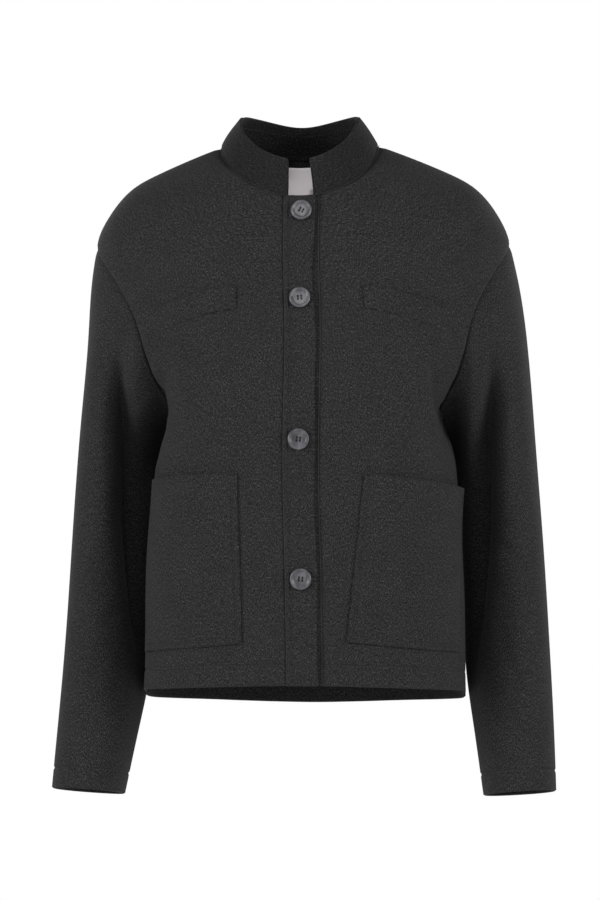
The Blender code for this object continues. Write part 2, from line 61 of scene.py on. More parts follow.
# The form, as in the part: one row for each section, hem to neck
SECTION_COLUMNS = ("front_z", "side_z", "back_z", "half_width", "front", "back", "square", "tilt")
SECTIONS = {
    "hem": (-558, -575, -592, 169.0, 124, 114, 2.70, 0.65),
    "hip": (-498, -508, -520, 167.0, 125, 112, 2.60, 1.1),
    "waist": (-425, -430, -436, 164.5, 126, 110, 2.60, 1.6),
    "ribs": (-355, -355, -358, 158.5, 127, 110, 2.70, 2.0),
    "below_arm": (-322, -318, -321, 153.6, 126.5, 111, 2.85, 2.0),
    "underarm": (-295, -287, -290, 147.0, 126, 112, 3.00, 2.0),
    "chest": (-238, -200, -217, 194.0, 122, 113, 2.20, 2.0),
    "sleeve_top": (-184, -102, -142, 216.0, 113, 109, 2.15, 2.0),
    "drop": (-158, -76, -113, 204.5, 106, 104, 2.20, 1.9),
    "shoulder": (-125, -45, -78, 178.0, 97, 96, 2.20, 1.7),
    "yoke_low": (-100, -29, -51, 149.0, 89, 86, 2.15, 1.5),
    "yoke_high": (-79, -14, -28, 115.0, 82, 76, 2.15, 1.3),
    "neck": (-59, -1, -9, 83.0, 75, 66, 2.15, 1.15),
}
ROW = {name: sum(values[:3]) / 3 for name, values in SECTIONS.items()}
SWAY = (
    (-690, 0.3), (-590, 2.4), (-450, 3.5), (-300, 3.6), (-200, 4.0),
    (-102, 0.3), (-45, -0.5), (-5, -3.2), (40, -3.2),
)

# Soft folds of the body, as in the part: start and end seen from the front, half width, depth
FOLD_COLUMNS = ("start_x", "start_z", "end_x", "end_z", "half_width", "depth")
BODY_FOLDS = {
    "armpit_left": (150, -270, 146, -226, 14, 6.5),
    "armpit_right": (-150, -270, -146, -224, 14, 6.0),
    "side_drag_left": (152, -300, 112, -352, 20, 3.5),
    "side_drag_right": (-152, -296, -108, -340, 20, 3.5),
    "chest_hollow": (-52, -250, -66, -330, 30, 2.0),
}
# Finer creases, front and back; a negative depth stands proud
FRONT_CREASES = {
    "right_armhole_fold": (-163, -236, -140, -188, 7, 2.0),
    "left_armhole_fold": (163, -232, 142, -186, 7, 1.8),
    "right_armpit_pull": (-150, -282, -92, -262, 8, 1.6),
    "left_armpit_pull": (151, -284, 96, -258, 8, 1.5),
    "right_side_pull": (-158, -330, -118, -306, 7, 1.2),
    "left_side_pull": (157, -322, 124, -300, 7, 1.2),
    "right_below_welt": (-88, -206, -104, -268, 10, 0.9),
    "left_below_welt": (92, -210, 104, -276, 10, 0.9),
    "band_pull_high": (24, -172, 62, -196, 8, 0.7),
    "band_pull_middle": (-22, -312, -58, -330, 9, 0.8),
    "band_pull_low": (26, -452, 52, -468, 8, 0.7),
    "right_shoulder_break": (-120, -92, -168, -128, 12, 0.9),
    "left_shoulder_break": (112, -86, 170, -126, 12, 0.9),
    "left_break": (149, -304, 132, -234, 5, 6.0),
    "left_break_lip": (139, -306, 121, -236, 6, -2.6),
    "right_break": (-150, -280, -146, -240, 6, 3.0),
    "hem_right": (-112, -568, -104, -536, 9, 0.8),
    "hem_left": (48, -562, 44, -530, 9, 0.7),
}
BACK_CREASES = {
    "armhole_right": (-162, -226, -120, -196, 9, 1.8),
    "armhole_left": (160, -222, 116, -198, 9, 1.7),
    "underarm_right": (-152, -292, -96, -276, 9, 1.5),
    "underarm_left": (152, -298, -40, -286, 10, 0.9),
    "waist_right": (-150, -400, -70, -372, 11, 1.0),
    "waist_left": (148, -414, 64, -392, 11, 1.1),
    "shoulder_blade": (-60, -170, 74, -178, 15, 0.8),
    "neck_drop": (-18, -62, -26, -120, 12, 0.6),
    "hem_wave_right": (-84, -586, -76, -520, 15, 1.1),
    "hem_wave_left": (66, -588, 72, -510, 15, 1.2),
}
# Long soft waves of the hanging cloth: waves per metre round and up, phase, height; round at a mean radius
CLOTH_WAVES = ((5.1, 1.4, 0.4, 0.50), (8.7, -2.3, 1.9, 0.32), (2.9, 6.2, 4.1, 0.38), (12.3, 3.1, 2.6, 0.20))
CLOTH_WAVE_RADIUS = 0.16

# Soft waves of the sleeves: whole waves round, turn along each ring, phase, height
SLEEVE_WAVES = ((2, 1.4, 0.4, 0.30), (3, -2.3, 1.9, 0.22), (5, 1.1, 4.1, 0.15))

# Armhole and sleeves, as in the part
ARMHOLE_FRONT = 22.0
ARMHOLE_BACK = 20.0
SLEEVE_COLUMNS = ("out_x", "out_y", "out_z", "in_x", "in_y", "in_z", "depth", "lift")
SLEEVE_RINGS = (
    (216.0, 4, -102, 147.0, 4, -287, 68, 0),
    (225.0, 6, -150, 150.0, 22, -296, 72, 0),
    (231.5, 9, -215, 152.0, 42, -312, 73, 0),
    (238.5, 13, -290, 156.0, 51, -345, 70, 0),
    (245.4, 18, -375, 159.8, 55, -405, 66, 1),
    (251.6, 20, -460, 162.6, 52, -475, 61, 3),
    (256.6, 15, -540, 166.8, 40, -548, 56, 6),
    (260.4, 6, -610, 177.5, 20, -615, 52, 7),
    (264.5, -4, -675, 189.0, 2, -681, 48, 7),
)
SLEEVE_SQUARE = 2.2
HEAD_BLEND = 2.5
SLEEVE_FOLD_COLUMNS = ("start_ring", "start_turn", "end_ring", "end_turn", "half_turn", "depth")
SLEEVE_FOLDS = {
    "inner_trough": (2.0, 90, 5.0, 138, 20, 26.0),
    "against_body": (1.0, 155, 4.0, 155, 16, 5.0),
    "behind_arm": (0.8, 200, 2.8, 200, 20, -6.0),
    "elbow_back": (4.2, 236, 5.4, 292, 16, 3.5),
    "upper_back": (1.4, 232, 3.4, 262, 18, 4.0),
}
# Finer creases of each sleeve, in the same columns
SLEEVE_CREASES = {
    "sleeve_left": {
        "head_front": (0.3, 70, 1.4, 100, 7, 1.4),
        "underarm_fill": (0.4, 192, 1.6, 192, 30, -6.5),
        "trough_slit": (2.0, 84, 5.0, 130, 9, 9.0),
        "inner_sink": (3.4, 134, 6.0, 150, 24, 9.0),
        "front_pull": (1.0, 118, 2.3, 84, 7, 1.3),
        "elbow_front": (4.1, 112, 4.7, 66, 7, 1.3),
        "elbow_front_low": (4.8, 120, 5.2, 84, 6, 1.0),
        "forearm": (5.6, 96, 6.7, 74, 8, 0.8),
        "elbow_outside": (4.3, 300, 4.8, 344, 7, 0.9),
        "back_pull": (0.8, 246, 2.2, 284, 8, 1.3),
        "cuff_break": (7.0, 40, 7.4, 82, 7, 0.7),
    },
    "sleeve_right": {
        "head_front": (0.3, 66, 1.6, 96, 7, 1.5),
        "underarm_fill": (0.4, 200, 1.2, 200, 24, -2.5),
        "trough_slit": (1.6, 80, 5.0, 130, 9, 10.0),
        "inner_sink": (2.2, 126, 5.6, 150, 24, 14.0),
        "front_pull": (1.2, 120, 2.6, 90, 7, 1.4),
        "elbow_front": (4.3, 116, 4.9, 60, 7, 1.2),
        "elbow_front_low": (5.0, 124, 5.5, 90, 6, 1.1),
        "forearm": (5.9, 92, 6.9, 62, 8, 0.9),
        "elbow_outside": (4.5, 296, 5.1, 348, 7, 0.8),
        "back_pull": (0.9, 250, 2.5, 280, 8, 1.2),
        "cuff_break": (7.1, 36, 7.5, 86, 7, 0.8),
    },
}

# Collar and bands, as in the part
COLLAR_TOP = {"front_z": -21, "side_z": 29.5, "back_z": 22.5, "half_width": 61, "front": 62, "back": 58}
COLLAR_TOP_SQUARE = 2.5
COLLAR_TOP_TILT = {"front": 1.35, "back": 2.2}
COLLAR_CLOTH = 3.0
# Finer form of the collar: how its back edge falls from the peaks, the peaks' rounding, and fuller sides
COLLAR_BACK_FALL = 5.5
COLLAR_PEAK_ROUND = 3.5
COLLAR_PEAK_RISE = 3.2
COLLAR_PEAK_TURN = 18.0
COLLAR_SIDE_FULL = 2.2
COLLAR_BULGE = 0.8
COLLAR_END_RIGHT = -13.0
COLLAR_END_LEFT = 16.0
BAND_LEFT_EDGE = -15.5
BAND_RIGHT_EDGE = 15.5
BAND_DRIFT = {"hem": 2.8, "waist": 0.2, "ribs": -1.2, "underarm": -1.6, "sleeve_top": -0.5, "neck": 0.0}
BAND_PROUD = 1.5
BAND_CLOTH = 2.6
UNDER_BAND_EDGE = -13.0
UNDER_BAND_SEAM = 20.0
UNDER_BAND_STEP = 3.0
UNDER_BAND_SUNK = 1.5
UNDER_BAND_CLOTH = 2.3
BAND_STITCH_INSET = 5.2

# Buttons, as in the part: height and shift from the band's centre, and how far the thread is turned
BUTTONS = ((-75.5, 2.5, -24), (-165.5, 0, 4), (-309.0, 0, -7), (-450.5, 0, -5))
BUTTON_RADIUS = 10.8
BUTTON_THICK = 3.6
HOLE_OFFSET = 1.75
HOLE_RADIUS = 1.0

# Pockets and welts, as in the part
PATCH_GAP = 0.7
POCKET_COLUMNS = (
    "side", "inner_top", "inner_bottom", "top_in", "top_out", "fall_in", "fall_out", "gape", "corner"
)
POCKETS = {
    "pocket_right": (-1, 65, 60, -344, -352, 172, 177, 3.0, 0.0),
    "pocket_left": (1, 66, 48, -344, -361, 170, 167, 4.0, 7.0),
}
POCKET = {name: dict(zip(POCKET_COLUMNS, values)) for name, values in POCKETS.items()}
POCKET_WIDTH = 136.0
POCKET_CLOTH = 1.8
# The stitch row's inset, and the height that it is a share of
POCKET_STITCH_INSET = 5.2
POCKET_STITCH_HEIGHT = 172.0
WELT_INNER = 66.0
WELT_LENGTH = 92.0
WELT_TOP_INNER = -153.5
WELT_TOP_OUTER = -178.0
WELT_HEIGHT = 23.0
WELT_CLOTH = 2.0
WELTS = {"welt_right": -1, "welt_left": 1}
SLEEVES = {"sleeve_left": 1, "sleeve_right": -1}

# Inside pieces, as in the part; their side edges keep this many degrees clear of the seams
FACING_CLOTH = 1.2
FACING_BOTTOM_SHARE = 3 / 7
LINING_CLOTH = 0.8
INSIDE_GAP = 0.4
INSIDE_EDGE_TURN = 4.5
LABEL_HALF_ANGLE = 20.9
LABEL_DROP = 7.5
LABEL_HEIGHT = 40.0
LABEL_CLOTH = 0.6

# Thread: stitches, then the painted seam shadow, a near-black fine cord laid down in a seam to draw its dark
# line
STITCH_LENGTH = 2.7
STITCH_PITCH = 3.6
THREAD_RADIUS = 0.40
THREAD_SIDES = 6
# A stitch from end to end: share of its length, height over the cloth, share of the thread's radius
STITCH_SHAPE = (
    (0.0, -0.35, 0.55), (0.12, 0.10, 0.95), (0.5, 0.24, 1.0), (0.88, 0.10, 0.95), (1.0, -0.35, 0.55),
)
STITCH_STEP = 0.3
SEAM_SHADOW_RADIUS = 0.5
SEAM_SHADOW_STEP = 2.0
# Painted shadow cords in the band seams: x from the band's centre, and depth under the cloth's outside
BAND_SEAM_SHADOWS = {
    "seam_band": (BAND_LEFT_EDGE - 0.2, 0.5),
    "seam_under_band": (UNDER_BAND_SEAM + 0.15, 0.9),
}

# Picture
CAMERA_DISTANCE = 3.5
CAMERA_HEIGHT = -0.32
CAMERA_YAW = 3.0
FRAME_HEIGHT = 0.945
AXIS_OFF_CENTRE = 0.00315

# Light: lamps by azimuth from the camera's side towards +X, elevation, distance and size in metres, and watts
EVEN_LIGHT = 0.15
LAMP_AIM = (0.0, 0.0, -0.42)
LAMPS = {
    "key_lamp": (0, 46, 2.8, 1.1, 20),
    "side_lamp_right": (-57, 12, 2.6, 1.2, 56),
    "side_lamp_left": (57, 12, 2.6, 1.2, 53),
    "back_lamp_right": (-140, 25, 2.8, 1.5, 34),
    "back_lamp_left": (140, 25, 2.8, 1.5, 34),
}
# A narrow lamp through the collar's opening on to the label: place, aim, watts, cone in degrees and radius
NECK_LAMP = {
    "place": (0.05, -0.9, 0.12), "aim": (0.0, 0.055, -0.036), "watts": 10.5, "cone": 3.6, "radius": 0.005,
}
FLOOR_SIZE = 7.0
FLOOR_HEIGHT = -1.45
SENSOR_HEIGHT = 36.0


def spline(knots, values):
    """A natural cubic spline through values at rising knots."""
    x, y = np.asarray(knots, float), np.asarray(values, float)
    count = len(y)
    step = np.diff(x)
    slope = np.diff(y) / step
    system = np.eye(count)
    bend = np.zeros(count)
    for i in range(1, count - 1):
        system[i, i - 1 : i + 2] = step[i - 1], 2 * (step[i - 1] + step[i]), step[i]
        bend[i] = 6 * (slope[i] - slope[i - 1])
    second = np.linalg.solve(system, bend)

    def at(position):
        position = np.clip(np.asarray(position, float), x[0], x[-1])
        k = np.clip(np.searchsorted(x, position, side="right") - 1, 0, count - 2)
        f = (position - x[k]) / step[k]
        g = 1 - f
        curve = ((g**3 - g) * second[k] + (f**3 - f) * second[k + 1]) * step[k] ** 2 / 6
        return g * y[k] + f * y[k + 1] + curve

    return at


SECTION = {
    name: spline(list(ROW.values()), column) for name, column in zip(SECTION_COLUMNS, zip(*SECTIONS.values()))
}
BAND_CENTRE = spline([ROW[name] for name in BAND_DRIFT], list(BAND_DRIFT.values()))
SWAY_AT = spline(*zip(*SWAY))
SLEEVE = {
    name: spline(range(len(SLEEVE_RINGS)), column) for name, column in zip(SLEEVE_COLUMNS, zip(*SLEEVE_RINGS))
}


def unit(vectors):
    return vectors / np.maximum(np.linalg.norm(vectors, axis=-1, keepdims=True), 1e-9)


def together(*values):
    """Numbers and arrays as arrays of one shape."""
    return np.broadcast_arrays(*(np.asarray(value, float) for value in values))


def ring_point(theta, half_width, front, back, front_z, side_z, back_z, square, tilt):
    """A point of one closed section; theta is 0 at the centre front and a quarter at the wearer's left."""
    c, s = np.cos(theta), np.sin(theta)
    ahead = c >= 0
    depth = np.where(ahead, front, back)
    reach = ((np.abs(c) / depth) ** square + (np.abs(s) / half_width) ** square) ** (-1 / square)
    end_z = np.where(ahead, front_z, back_z)
    z = side_z + (end_z - side_z) * np.abs(c) ** tilt
    return np.stack([reach * s, -reach * c, z], axis=-1)


def creased(point, folds):
    """How deep the listed folds press the cloth in at points seen from the front."""
    pressed = np.zeros(point.shape[:-1])
    for values in folds.values():
        fold = dict(zip(FOLD_COLUMNS, values))
        start = np.array([fold["start_x"], fold["start_z"]])
        run = np.array([fold["end_x"], fold["end_z"]]) - start
        away = point[..., [0, 2]] - start
        share = np.clip(away @ run / (run @ run), 0, 1)
        distance = np.linalg.norm(away - share[..., None] * run, axis=-1)
        fade = np.sin(math.pi * (0.2 + 0.6 * share))
        pressed = pressed + fold["depth"] * fade * np.exp(-((distance / fold["half_width"]) ** 2))
    return pressed


def form(theta, row):
    """A point on the outside of the body of the jacket, by angle and by section row, as in the part."""
    theta, row = together(theta, row)
    point = ring_point(theta, **{name: SECTION[name](row) for name in SECTION_COLUMNS})
    inward = np.stack([-np.sin(theta), np.cos(theta), 0 * theta], axis=-1)
    in_front = np.clip(np.cos(theta) * 8, 0, 1)
    return point + (creased(point, BODY_FOLDS) * in_front)[..., None] * inward


def form_normal(theta, row):
    """The outward direction of the form."""
    turn, climb = 1e-3, 0.05
    theta = np.asarray(theta, float)
    row = np.clip(row, ROW["hem"] + climb, ROW["neck"] - climb)
    along = form(theta, row + climb) - form(theta, row - climb)
    around = form(theta + turn, row) - form(theta - turn, row)
    return unit(np.cross(around, along))


def ripple(theta, point):
    """Fine creases and long soft waves of the body's cloth, in millimetres outwards."""
    in_front = np.clip(np.cos(theta) * 5 + 0.5, 0, 1)
    behind = np.clip(-np.cos(theta) * 5 + 0.5, 0, 1)
    out = -creased(point, FRONT_CREASES) * in_front - creased(point, BACK_CREASES) * behind
    for around, up, phase, height in CLOTH_WAVES:
        waves = around * theta * CLOTH_WAVE_RADIUS + up * point[..., 2] * MM
        out = out + height * np.sin(2 * math.pi * waves + phase)
    return out


def cloth(theta, row, lift=0.0):
    """A point on the finished cloth of the body, moved out by lift, and its outward direction."""
    theta, row = together(theta, row)
    point = form(theta, row)
    normal = form_normal(theta, row)
    return point + (ripple(theta, point) + lift)[..., None] * normal, normal


def theta_at_x(x, row):
    """The angle on the front half where the section has this x."""
    x, row = together(x, row)
    theta = np.zeros_like(x)
    for _ in range(12):
        point = form(theta, row)
        theta = np.arcsin(np.clip(x / np.hypot(point[..., 0], point[..., 1]), -1, 1))
    return theta


def row_at_height(theta, z):
    """The section row where the form has this height, by halving."""
    theta, z = together(theta, z)
    low = np.full_like(theta, ROW["hem"])
    high = np.full_like(theta, ROW["neck"])
    for _ in range(26):
        middle = (low + high) / 2
        below = form(theta, middle)[..., 2] < z
        low = np.where(below, middle, low)
        high = np.where(below, high, middle)
    return (low + high) / 2


LEVEL_ANGLES = np.radians(np.arange(0, 116, 2.0))


def on_level(distance, z):
    """Angle and row of points this far round the wearer's left half from the centre front at height z."""
    shape = np.shape(distance)
    distance, z = np.ravel(distance), np.ravel(z)
    angles = np.repeat(LEVEL_ANGLES[None, :], len(z), axis=0)
    points = form(angles, row_at_height(angles, z[:, None]))
    steps = np.linalg.norm(np.diff(points, axis=1), axis=-1)
    lengths = np.concatenate([np.zeros((len(z), 1)), np.cumsum(steps, axis=1)], axis=1)
    theta = np.array([np.interp(d, row, LEVEL_ANGLES) for d, row in zip(distance, lengths)])
    return theta.reshape(shape), row_at_height(theta, z).reshape(shape)


def armhole_fall(turn):
    """How far down the armhole a turn lies, from 0 at the shoulder to 1 at the underarm."""
    turn = np.arccos(np.cos(turn))
    return (1 - np.cos(turn)) / 4 + turn / (2 * math.pi)


def armhole(turn, front=True):
    """Angle and row on the armhole's edge; turn is 0 at the shoulder and half a turn at the underarm."""
    cut = math.radians(ARMHOLE_FRONT if front else -ARMHOLE_BACK)
    row = ROW["sleeve_top"] + (ROW["underarm"] - ROW["sleeve_top"]) * armhole_fall(turn)
    return math.pi / 2 - cut * np.sin(turn), row


def panel_edge(rows, front):
    """The angle of a panel's outer edge at each row: side seam, armhole, then shoulder seam."""
    fall = (rows - ROW["sleeve_top"]) / (ROW["underarm"] - ROW["sleeve_top"])
    turns = np.linspace(0, math.pi, 721)
    edge = armhole(np.interp(fall, armhole_fall(turns), turns), front)[0]
    speed = np.linalg.norm(form(edge + 1e-3, rows) - form(edge - 1e-3, rows), axis=-1) / 2e-3
    gap = SEAM_GAP / 2 / speed
    return edge - gap if front else edge + gap


def sleeve_points(turn, ring, creases):
    """A point on the outside of the wearer's left sleeve; turn is 0 at the outside and a quarter in front."""
    turn, ring = together(turn, ring)
    value = {name: SLEEVE[name](ring)[..., None] for name in SLEEVE_COLUMNS}
    outside = np.concatenate([value["out_x"], value["out_y"], value["out_z"]], axis=-1)
    inside = np.concatenate([value["in_x"], value["in_y"], value["in_z"]], axis=-1)
    c, s = np.cos(turn)[..., None], np.sin(turn)[..., None]
    reach = (np.abs(c) ** SLEEVE_SQUARE + np.abs(s) ** SLEEVE_SQUARE) ** (-1 / SLEEVE_SQUARE)
    ahead = np.concatenate([0 * value["depth"], -value["depth"], value["lift"]], axis=-1)
    spoke = (outside - inside) / 2 * reach * c + ahead * reach * s
    pressed = np.zeros(turn.shape)
    for values in (*SLEEVE_FOLDS.values(), *creases.values()):
        fold = dict(zip(SLEEVE_FOLD_COLUMNS, values))
        share = (ring - fold["start_ring"]) / (fold["end_ring"] - fold["start_ring"])
        middle = np.radians(fold["start_turn"] + (fold["end_turn"] - fold["start_turn"]) * share)
        off = np.angle(np.exp(1j * (turn - middle))) / math.radians(fold["half_turn"])
        fade = np.sin(math.pi * np.clip(0.5 * (share + 0.5), 0, 1)) ** 2
        pressed = pressed + fold["depth"] * fade * np.exp(-(off**2))
    for around, along, phase, height in SLEEVE_WAVES:
        pressed = pressed + height * np.sin(around * turn + along * ring + phase)
    length = np.linalg.norm(spoke, axis=-1, keepdims=True)
    return (outside + inside) / 2 + spoke * (1 - pressed[..., None] / length)


def armhole_loop(turn):
    """The armhole's edge at the wearer's left, moved a seam's gap out of the panels."""
    front = np.sin(turn) >= 0
    theta = np.where(front, armhole(turn, True)[0], armhole(-turn, False)[0])
    row = armhole(turn)[1]
    edge, normal = cloth(theta, row, -0.3 * SEAM_PINCH)
    around = np.roll(edge, -1, axis=0) - np.roll(edge, 1, axis=0)
    away = unit(np.cross(around, normal))
    away *= np.sign(np.einsum("ij,ij->i", away, edge.mean(axis=0) - edge))[:, None]
    return edge + SEAM_GAP * (away + normal)


def leant(points):
    """Points in millimetres moved with the jacket's lean, in metres."""
    points = np.array(points, float)
    points[..., 0] += SWAY_AT(points[..., 2])
    return points * MM


def grid_lengths(points):
    """Distances along rows and along columns of a grid, in the points' unit."""
    across = np.linalg.norm(np.diff(points, axis=1), axis=-1)
    along = np.linalg.norm(np.diff(points, axis=0), axis=-1)
    u = np.concatenate([np.zeros((len(points), 1)), np.cumsum(across, axis=1)], axis=1)
    v = np.concatenate([np.zeros((1, points.shape[1])), np.cumsum(along, axis=0)], axis=0)
    return u, v


def mesh_object(name, points, faces, corner_uv, finish):
    """A smooth mesh piece that rides with the jacket; points in metres."""
    corners = points[np.array([(f[0], f[k], f[k + 1]) for f in faces for k in range(1, len(f) - 1)])]
    if np.einsum("ij,ij->i", corners[:, 0], np.cross(corners[:, 1], corners[:, 2])).sum() < 0:
        faces = [face[::-1] for face in faces]
        corner_uv = None if corner_uv is None else [uv[::-1] for uv in corner_uv]
    mesh = bpy.data.meshes.new(name)
    mesh.from_pydata(points.tolist(), [], faces)
    if corner_uv is not None:
        layer = mesh.uv_layers.new(name="Cloth")
        flat = np.array([value for face in corner_uv for value in face], np.float32)
        layer.data.foreach_set("uv", flat.ravel())
    mesh.shade_smooth()
    mesh.materials.append(finish)
    made = bpy.data.objects.new(name, mesh)
    bpy.context.scene.collection.objects.link(made)
    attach(made, "root")
    return made


def shell(name, outer, inner, finish, closed=False, round_edge=0.35):
    """A thin closed cloth shell between two grids in millimetres, with round edges, for a CAD node."""
    rows, columns = outer.shape[:2]
    count = rows * columns
    wide = np.concatenate([outer, outer[:, :1]], axis=1) if closed else outer
    u, v = grid_lengths(wide)
    u, v = (u - u[:, -1:] / 2) * MM, v * MM
    spans = columns if closed else columns - 1
    faces, uvs = [], []

    def corner(i, j, layer):
        return i * columns + j % columns + layer * count

    for i in range(rows - 1):
        for j in range(spans):
            ring = ((i, j), (i, j + 1), (i + 1, j + 1), (i + 1, j))
            for layer, order in enumerate((ring, ring[::-1])):
                faces.append(tuple(corner(a, b, layer) for a, b in order))
                uvs.append([(u[a, b], v[a, b]) for a, b in order])
    first = [(0, j) for j in range(columns)]
    last = [(rows - 1, j) for j in range(columns)][::-1]
    right = [(i, columns - 1) for i in range(1, rows - 1)]
    left = [(i, 0) for i in range(rows - 2, 0, -1)]
    rim_points = []
    for loop in [first, last] if closed else [first + right + last + left]:
        start = 2 * count + len(rim_points)
        for a, b in loop:
            back_a = min(max(a, 1), rows - 2)
            back_b = b if closed else min(max(b, 1), columns - 2)
            outwards = unit(outer[a, b] - outer[back_a, back_b])
            thick = np.linalg.norm(outer[a, b] - inner[a, b])
            rim_points.append((outer[a, b] + inner[a, b]) / 2 + outwards * round_edge * thick)
        for k, (a, b) in enumerate(loop):
            c, d = loop[(k + 1) % len(loop)]
            here, there = start + k, start + (k + 1) % len(loop)
            here_uv, there_uv = (u[a, b], v[a, b]), (u[c, d], v[c, d])
            faces.append((corner(c, d, 0), corner(a, b, 0), here, there))
            faces.append((there, here, corner(a, b, 1), corner(c, d, 1)))
            uvs += [[there_uv, here_uv, here_uv, there_uv]] * 2
    points = np.concatenate([outer.reshape(-1, 3), inner.reshape(-1, 3), np.array(rim_points)])
    made = mesh_object(name, leant(points), faces, uvs, finish)
    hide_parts(name)


class Finish:
    """A material in the making: its shader, its coordinates, and ways to add nodes."""

    def __init__(self, name):
        self.material = bpy.data.materials.new(name)
        self.material.use_nodes = True
        self.tree = self.material.node_tree
        self.shader = self.tree.nodes["Principled BSDF"]
        where = self.node("TexCoord")
        self.uv, self.place = where.outputs["UV"], where.outputs["Object"]

    def node(self, kind, values=None, **sources):
        """A new node, with values by input name and sources linked to inputs of the same name."""
        made = self.tree.nodes.new(f"ShaderNode{kind}")
        for name, value in (values or {}).items():
            made.inputs[name].default_value = value
        for name, source in sources.items():
            self.tree.links.new(source, made.inputs[name])
        return made

    def feed(self, name, source):
        """Drives an input of the shader from a node."""
        self.tree.links.new(source, self.shader.inputs[name])

    def noise(self, where, scale, detail, stretch=(1, 1, 1)):
        """A noise at a scale in features per metre, stretched along its axes."""
        mapping = self.node("Mapping", {"Scale": stretch}, Vector=where)
        texture = self.node("TexNoise", {"Scale": scale, "Detail": detail}, Vector=mapping.outputs["Vector"])
        return texture.outputs["Fac"]

    def twill(self, pitch, slant):
        """Slanting twill ribs along the cloth at a pitch in metres, from 0 to 1."""
        mapping = self.node("Mapping", {"Rotation": (0, 0, math.radians(slant))}, Vector=self.uv)
        uneven = {"Distortion": 1.2, "Detail": 1.0, "Detail Scale": 1.5}
        scale = 2 * math.pi / (20 * pitch)
        wave = self.node("TexWave", {"Scale": scale, **uneven}, Vector=mapping.outputs["Vector"])
        wave.wave_type = "BANDS"
        wave.bands_direction = "X"
        return wave.outputs["Fac"]

    def ramp(self, source, *stops):
        """A colour ramp from (position, grey or colour) stops."""
        made = self.node("ValToRGB", Fac=source)
        elements = made.color_ramp.elements
        while len(elements) < len(stops):
            elements.new(0.5)
        for element, (position, colour) in zip(elements, stops):
            element.position = position
            element.color = (*colour, 1) if isinstance(colour, tuple) else (colour, colour, colour, 1)
        return made.outputs["Color"]

    def times(self, first, second):
        """Two colours multiplied."""
        made = self.node("Mix")
        made.data_type = "RGBA"
        made.blend_type = "MULTIPLY"
        made.inputs["Factor"].default_value = 1.0
        self.tree.links.new(first, made.inputs["A"])
        self.tree.links.new(second, made.inputs["B"])
        return made.outputs["Result"]

    def bump(self, height, strength, distance, under=None):
        """A bump into the shader's normal, on top of another bump if given."""
        made = self.node("Bump", {"Strength": strength, "Distance": distance}, Height=height)
        if under is not None:
            self.tree.links.new(under, made.inputs["Normal"])
        self.feed("Normal", made.outputs["Normal"])
        return made.outputs["Normal"]


def wool_material(name, dark, middle, light, sheen):
    """Charcoal heather: a brushed twill with dark and pale fibres, flecks and a soft nap."""
    made = Finish(name)
    warp = made.noise(made.uv, 1000, 2.0, (1.5, 0.45, 1))
    weft = made.noise(made.uv, 1000, 2.0, (0.45, 1.5, 1))
    fibre = made.noise(made.place, 1250, 2.0)
    cloud = made.noise(made.place, 34, 3.0)
    ribs = made.twill(0.0011, 52)
    colour = made.ramp(warp, (0.32, dark), (0.50, middle), (0.68, light))
    colour = made.times(colour, made.ramp(weft, (0.32, 0.62), (0.50, 0.98), (0.68, 1.42)))
    colour = made.times(colour, made.ramp(fibre, (0.36, 0.55), (0.50, 0.95), (0.64, 1.9)))
    colour = made.times(colour, made.ramp(cloud, (0.30, 0.90), (0.70, 1.0)))
    colour = made.times(colour, made.ramp(ribs, (0.0, 0.86), (1.0, 1.0)))
    made.feed("Base Color", colour)
    made.feed("Roughness", made.ramp(fibre, (0.3, 0.82), (0.7, 0.98)))
    made.shader.inputs["Specular IOR Level"].default_value = 0.06
    made.shader.inputs["Sheen Weight"].default_value = sheen
    made.shader.inputs["Sheen Roughness"].default_value = 0.55
    made.shader.inputs["Sheen Tint"].default_value = (0.75, 0.75, 0.78, 1)
    weave = made.bump(ribs, 0.25, 0.00018)
    nap = made.bump(warp, 0.1, 0.0002, weave)
    made.bump(cloud, 0.2, 0.0008, nap)
    return made.material


def satin_material(name, pitch, slant, tones, slub_scale, slub_stretch, gloss, specular):
    """A finely ribbed satin in two tones, with uneven gloss and no marks."""
    made = Finish(name)
    ribs = made.twill(pitch, slant)
    made.feed("Base Color", made.ramp(ribs, (0.0, tones[0]), (1.0, tones[1])))
    slub = made.noise(made.uv, slub_scale, 2.0, slub_stretch)
    made.feed("Roughness", made.ramp(slub, (0.3, gloss[0]), (0.7, gloss[1])))
    made.shader.inputs["Specular IOR Level"].default_value = specular
    made.bump(ribs, 0.3, 0.0001)
    return made.material


def horn_material():
    """Grey horn look: cloudy, streaked, satin, with fine turning marks."""
    made = Finish("grey_horn")
    clouds = made.noise(made.place, 150, 4.0, (1, 1, 0.45))
    made.feed("Base Color", made.ramp(clouds, *HORN_TONES))
    marks = made.noise(made.place, 900, 2.0)
    made.feed("Roughness", made.ramp(marks, (0.3, 0.30), (0.7, 0.44)))
    made.bump(marks, 0.15, 0.0001)
    return made.material


def thread_material(name, dark, light):
    """Twisted sewing thread; also the near-black cord of the painted seam shadow."""
    made = Finish(name)
    twist = made.noise(made.place, 2400, 1.0)
    made.feed("Base Color", made.ramp(twist, (0.3, dark), (0.7, light)))
    made.feed("Roughness", made.ramp(twist, (0.3, 0.6), (0.7, 0.8)))
    made.bump(twist, 0.4, 0.0001)
    return made.material


